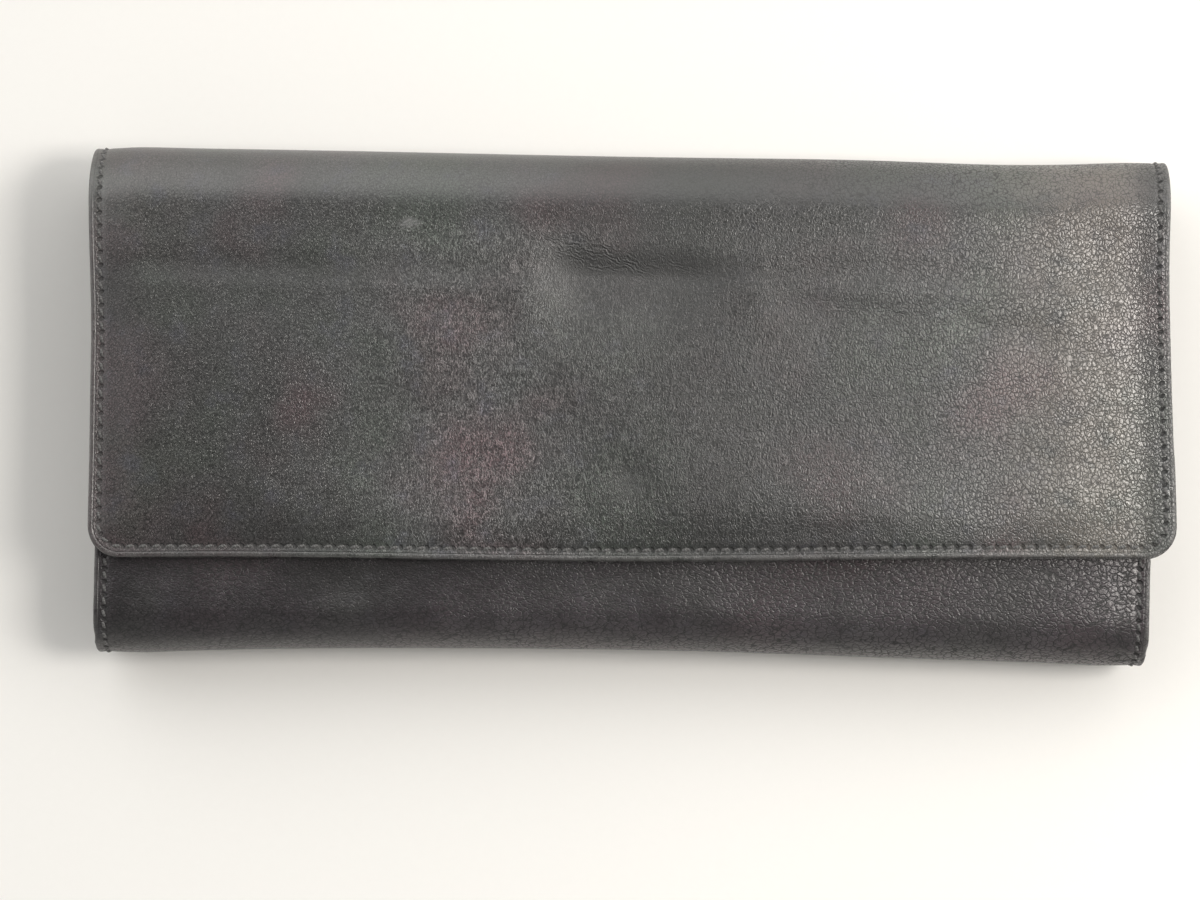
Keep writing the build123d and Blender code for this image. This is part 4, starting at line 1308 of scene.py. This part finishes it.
TAPE, TAPE_BEND = 0.34, 1.3
for side, facing_z in (("back", 1), ("front", -1)):
    low, high = node_box(f"zip_tape_{side}")
    wall = low[2] if facing_z > 0 else high[2]
    edge = high[2] if facing_z > 0 else low[2]
    bend_y = high[1] - TAPE_BEND
    turn = np.linspace(0, math.pi / 2, 7)[1:]
    foot = straight_path((low[1], wall), (bend_y, wall), 0.8)
    rise = facing_z * TAPE_BEND * (1 - np.cos(turn))
    curve = np.stack([bend_y + TAPE_BEND * np.sin(turn), wall + rise], 1)
    path = np.concatenate([foot, curve, [(high[1], edge)]])
    if facing_z > 0:
        path = path[::-1]
    tape = ribbon(f"zip_tape_weave_{side}", path, high[0], TAPE, 1.6, ZIP_TAPE, 0.015, 71)
    join_body(tape, "zip_tape", "coin_pocket", f"zip_tape_{side}")


GUSSET_SHEET = 0.3
GUSSET_REACH, GUSSET_WANDER = 0.93, 0.05  # shares of the room inwards


def gusset(name, side, low, high, material):
    """A folded side wall: a sheet that goes in to a rounded crease and out again."""
    rows = mesh_lines(high[1] - low[1], 1.6 * FINE, EDGE_LINES[:6], EDGE_LINES[:6])
    share = np.linspace(0, 1, 33)
    s, u = np.meshgrid(rows, share, indexing="ij")
    rim = max(abs(low[0]), abs(high[0]))
    depth = high[0] - low[0]
    # The rim flares where it meets the panels, and the crease wanders a little.
    reach = depth * (GUSSET_REACH + GUSSET_WANDER * ripple(s, 0 * s, 30, round(low[2] * 10)))
    inward = reach * np.sin(np.pi * u) ** 0.82
    level = u + 0.045 * np.sin(2 * np.pi * u) * (1 + 0.6 * ripple(s, u, 25, 5))
    z = low[2] + GUSSET_SHEET / 2 + (high[2] - low[2] - GUSSET_SHEET) * np.clip(level, 0, 1)
    x = side * (rim - inward)
    # The top edge dips towards the crease.
    y = low[1] + s * (1 - 0.1 * np.sin(np.pi * u))
    middle = np.stack([x, y, z], axis=-1)
    half_sheet = surface_normals(middle) * GUSSET_SHEET / 2
    outer, inner = middle + half_sheet, middle - half_sheet
    edge = np.minimum(s, rows[-1] - s)
    return shell(name, outer, inner, plain_fields(inward * np.sign(u - 0.5), s, edge), material)


gusset_plan = {
    "bill_gusset": ("back", "coin_pocket"),
    "front_gusset": ("coin_pocket", "front_panel"),
    "coin_gusset": None,
}
for kind, bodies in gusset_plan.items():
    for end, side in (("left", -1), ("right", 1)):
        low, high = node_box(f"{kind}_{end}")
        piece = gusset(f"{kind}_leather_{end}", side, low, high, GUSSET_LEATHER)
        node = f"{kind}_{end}"
        if bodies:
            bend_between(piece, "gusset", bodies, (0, 0, low[2]), (0, 0, high[2]), node)
        else:
            join_body(piece, "gusset", "coin_pocket", node)


# ---------------------------------------------------------------- finishes of the kept nodes

kept_finishes = {
    "flap_stiffener": BOARD,
    "snap_male": SNAP_METAL,
    "snap_female": SNAP_METAL,
    "snap_male_washer": WASHER_STEEL,
    "snap_female_washer": WASHER_STEEL,
    "zip_teeth_back": ZIP_METAL,
    "zip_teeth_front": ZIP_METAL,
    "zip_top_stops": ZIP_METAL,
    "zip_bottom_stop": ZIP_METAL,
    "zip_slider": ZIP_METAL,
    "zip_pull": ZIP_METAL,
}
for node, finish in kept_finishes.items():
    for material_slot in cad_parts[node].material_slots:
        material_slot.link = "OBJECT"
        material_slot.material = finish


# ---------------------------------------------------------------- camera, light, floor

CAMERA_PLACE = (-0.00463, -0.00794, 0.661)
CAMERA_TURN = math.radians(0.76)
LENS, SENSOR = 105.2, 36.0
FLOOR_HALF = 2.5
FLOOR_GAP = 0.0001

camera_data = bpy.data.cameras.new("camera")
camera_data.sensor_width = SENSOR
camera_data.lens = LENS
camera_data.clip_start = 0.01
camera = bpy.data.objects.new("camera", camera_data)
camera.location = CAMERA_PLACE
camera.rotation_euler = (0, 0, CAMERA_TURN)
bpy.context.scene.collection.objects.link(camera)
bpy.context.scene.camera = camera

floor_corners = np.array([(-1, -1, 0), (1, -1, 0), (1, 1, 0), (-1, 1, 0)]) * FLOOR_HALF / MM
floor = make_object("table", floor_corners, [(0, 1, 2, 3)], floor_material("table_top"))
floor.location.z = -FLOOR_GAP

# Name, direction, distance, size, power and colour of each light.
LIGHTS = [
    ("key", (0.87, 0.12, 0.5), 1.6, 0.9, 5.6, (1.0, 0.985, 0.95)),
    ("window", (0.37, 0.04, 0.55), 0.66, 0.2, 2.2, (1.0, 0.955, 0.9)),
    ("fill", (-0.5, 0.5, 0.7), 1.9, 1.7, 6.8, (0.98, 0.99, 1.0)),
]
# Surroundings: a colour, and along each axis a direction's start and end with the strength at them.
WORLD_COLOUR = (1.0, 0.985, 0.955, 1)
WORLD_STRENGTH = {"Y": (-0.45, 0.5, 0.25, 1.1), "Z": (0.6, 0.94, 1.5, 0.13)}


def softbox(name, direction, distance, size, power, colour):
    """A square area light that faces the wallet from a direction."""
    data = bpy.data.lights.new(name, "AREA")
    data.shape = "SQUARE"
    data.size = size
    data.energy = power
    data.color = colour
    light = bpy.data.objects.new(name, data)
    place = np.array(direction, float)
    place *= distance / np.linalg.norm(place)
    light.location = place
    light.rotation_euler = Vector(-place).to_track_quat("-Z", "Y").to_euler()
    bpy.context.scene.collection.objects.link(light)


for light_settings in LIGHTS:
    softbox(*light_settings)


def studio_world():
    """Soft surrounding light, dimmer overhead and on the side of the wallet's free edge."""
    studio = bpy.data.worlds.new("studio")
    studio.use_nodes = True
    tree = studio.node_tree
    place = tree.nodes.new("ShaderNodeTexCoord")
    parts = tree.nodes.new("ShaderNodeSeparateXYZ")
    tree.links.new(place.outputs["Generated"], parts.inputs[0])
    strength = tree.nodes.new("ShaderNodeMath")
    strength.operation = "MULTIPLY"
    for index, (axis, levels) in enumerate(WORLD_STRENGTH.items()):
        dim = tree.nodes.new("ShaderNodeMapRange")
        dim.interpolation_type = "SMOOTHSTEP"
        for socket, value in enumerate(levels, start=1):
            dim.inputs[socket].default_value = value
        tree.links.new(parts.outputs[axis], dim.inputs[0])
        tree.links.new(dim.outputs[0], strength.inputs[index])
    background = tree.nodes["Background"]
    background.inputs["Color"].default_value = WORLD_COLOUR
    tree.links.new(strength.outputs[0], background.inputs["Strength"])
    return studio


bpy.context.scene.world = studio_world()
bpy.context.scene.view_settings.view_transform = "Standard"
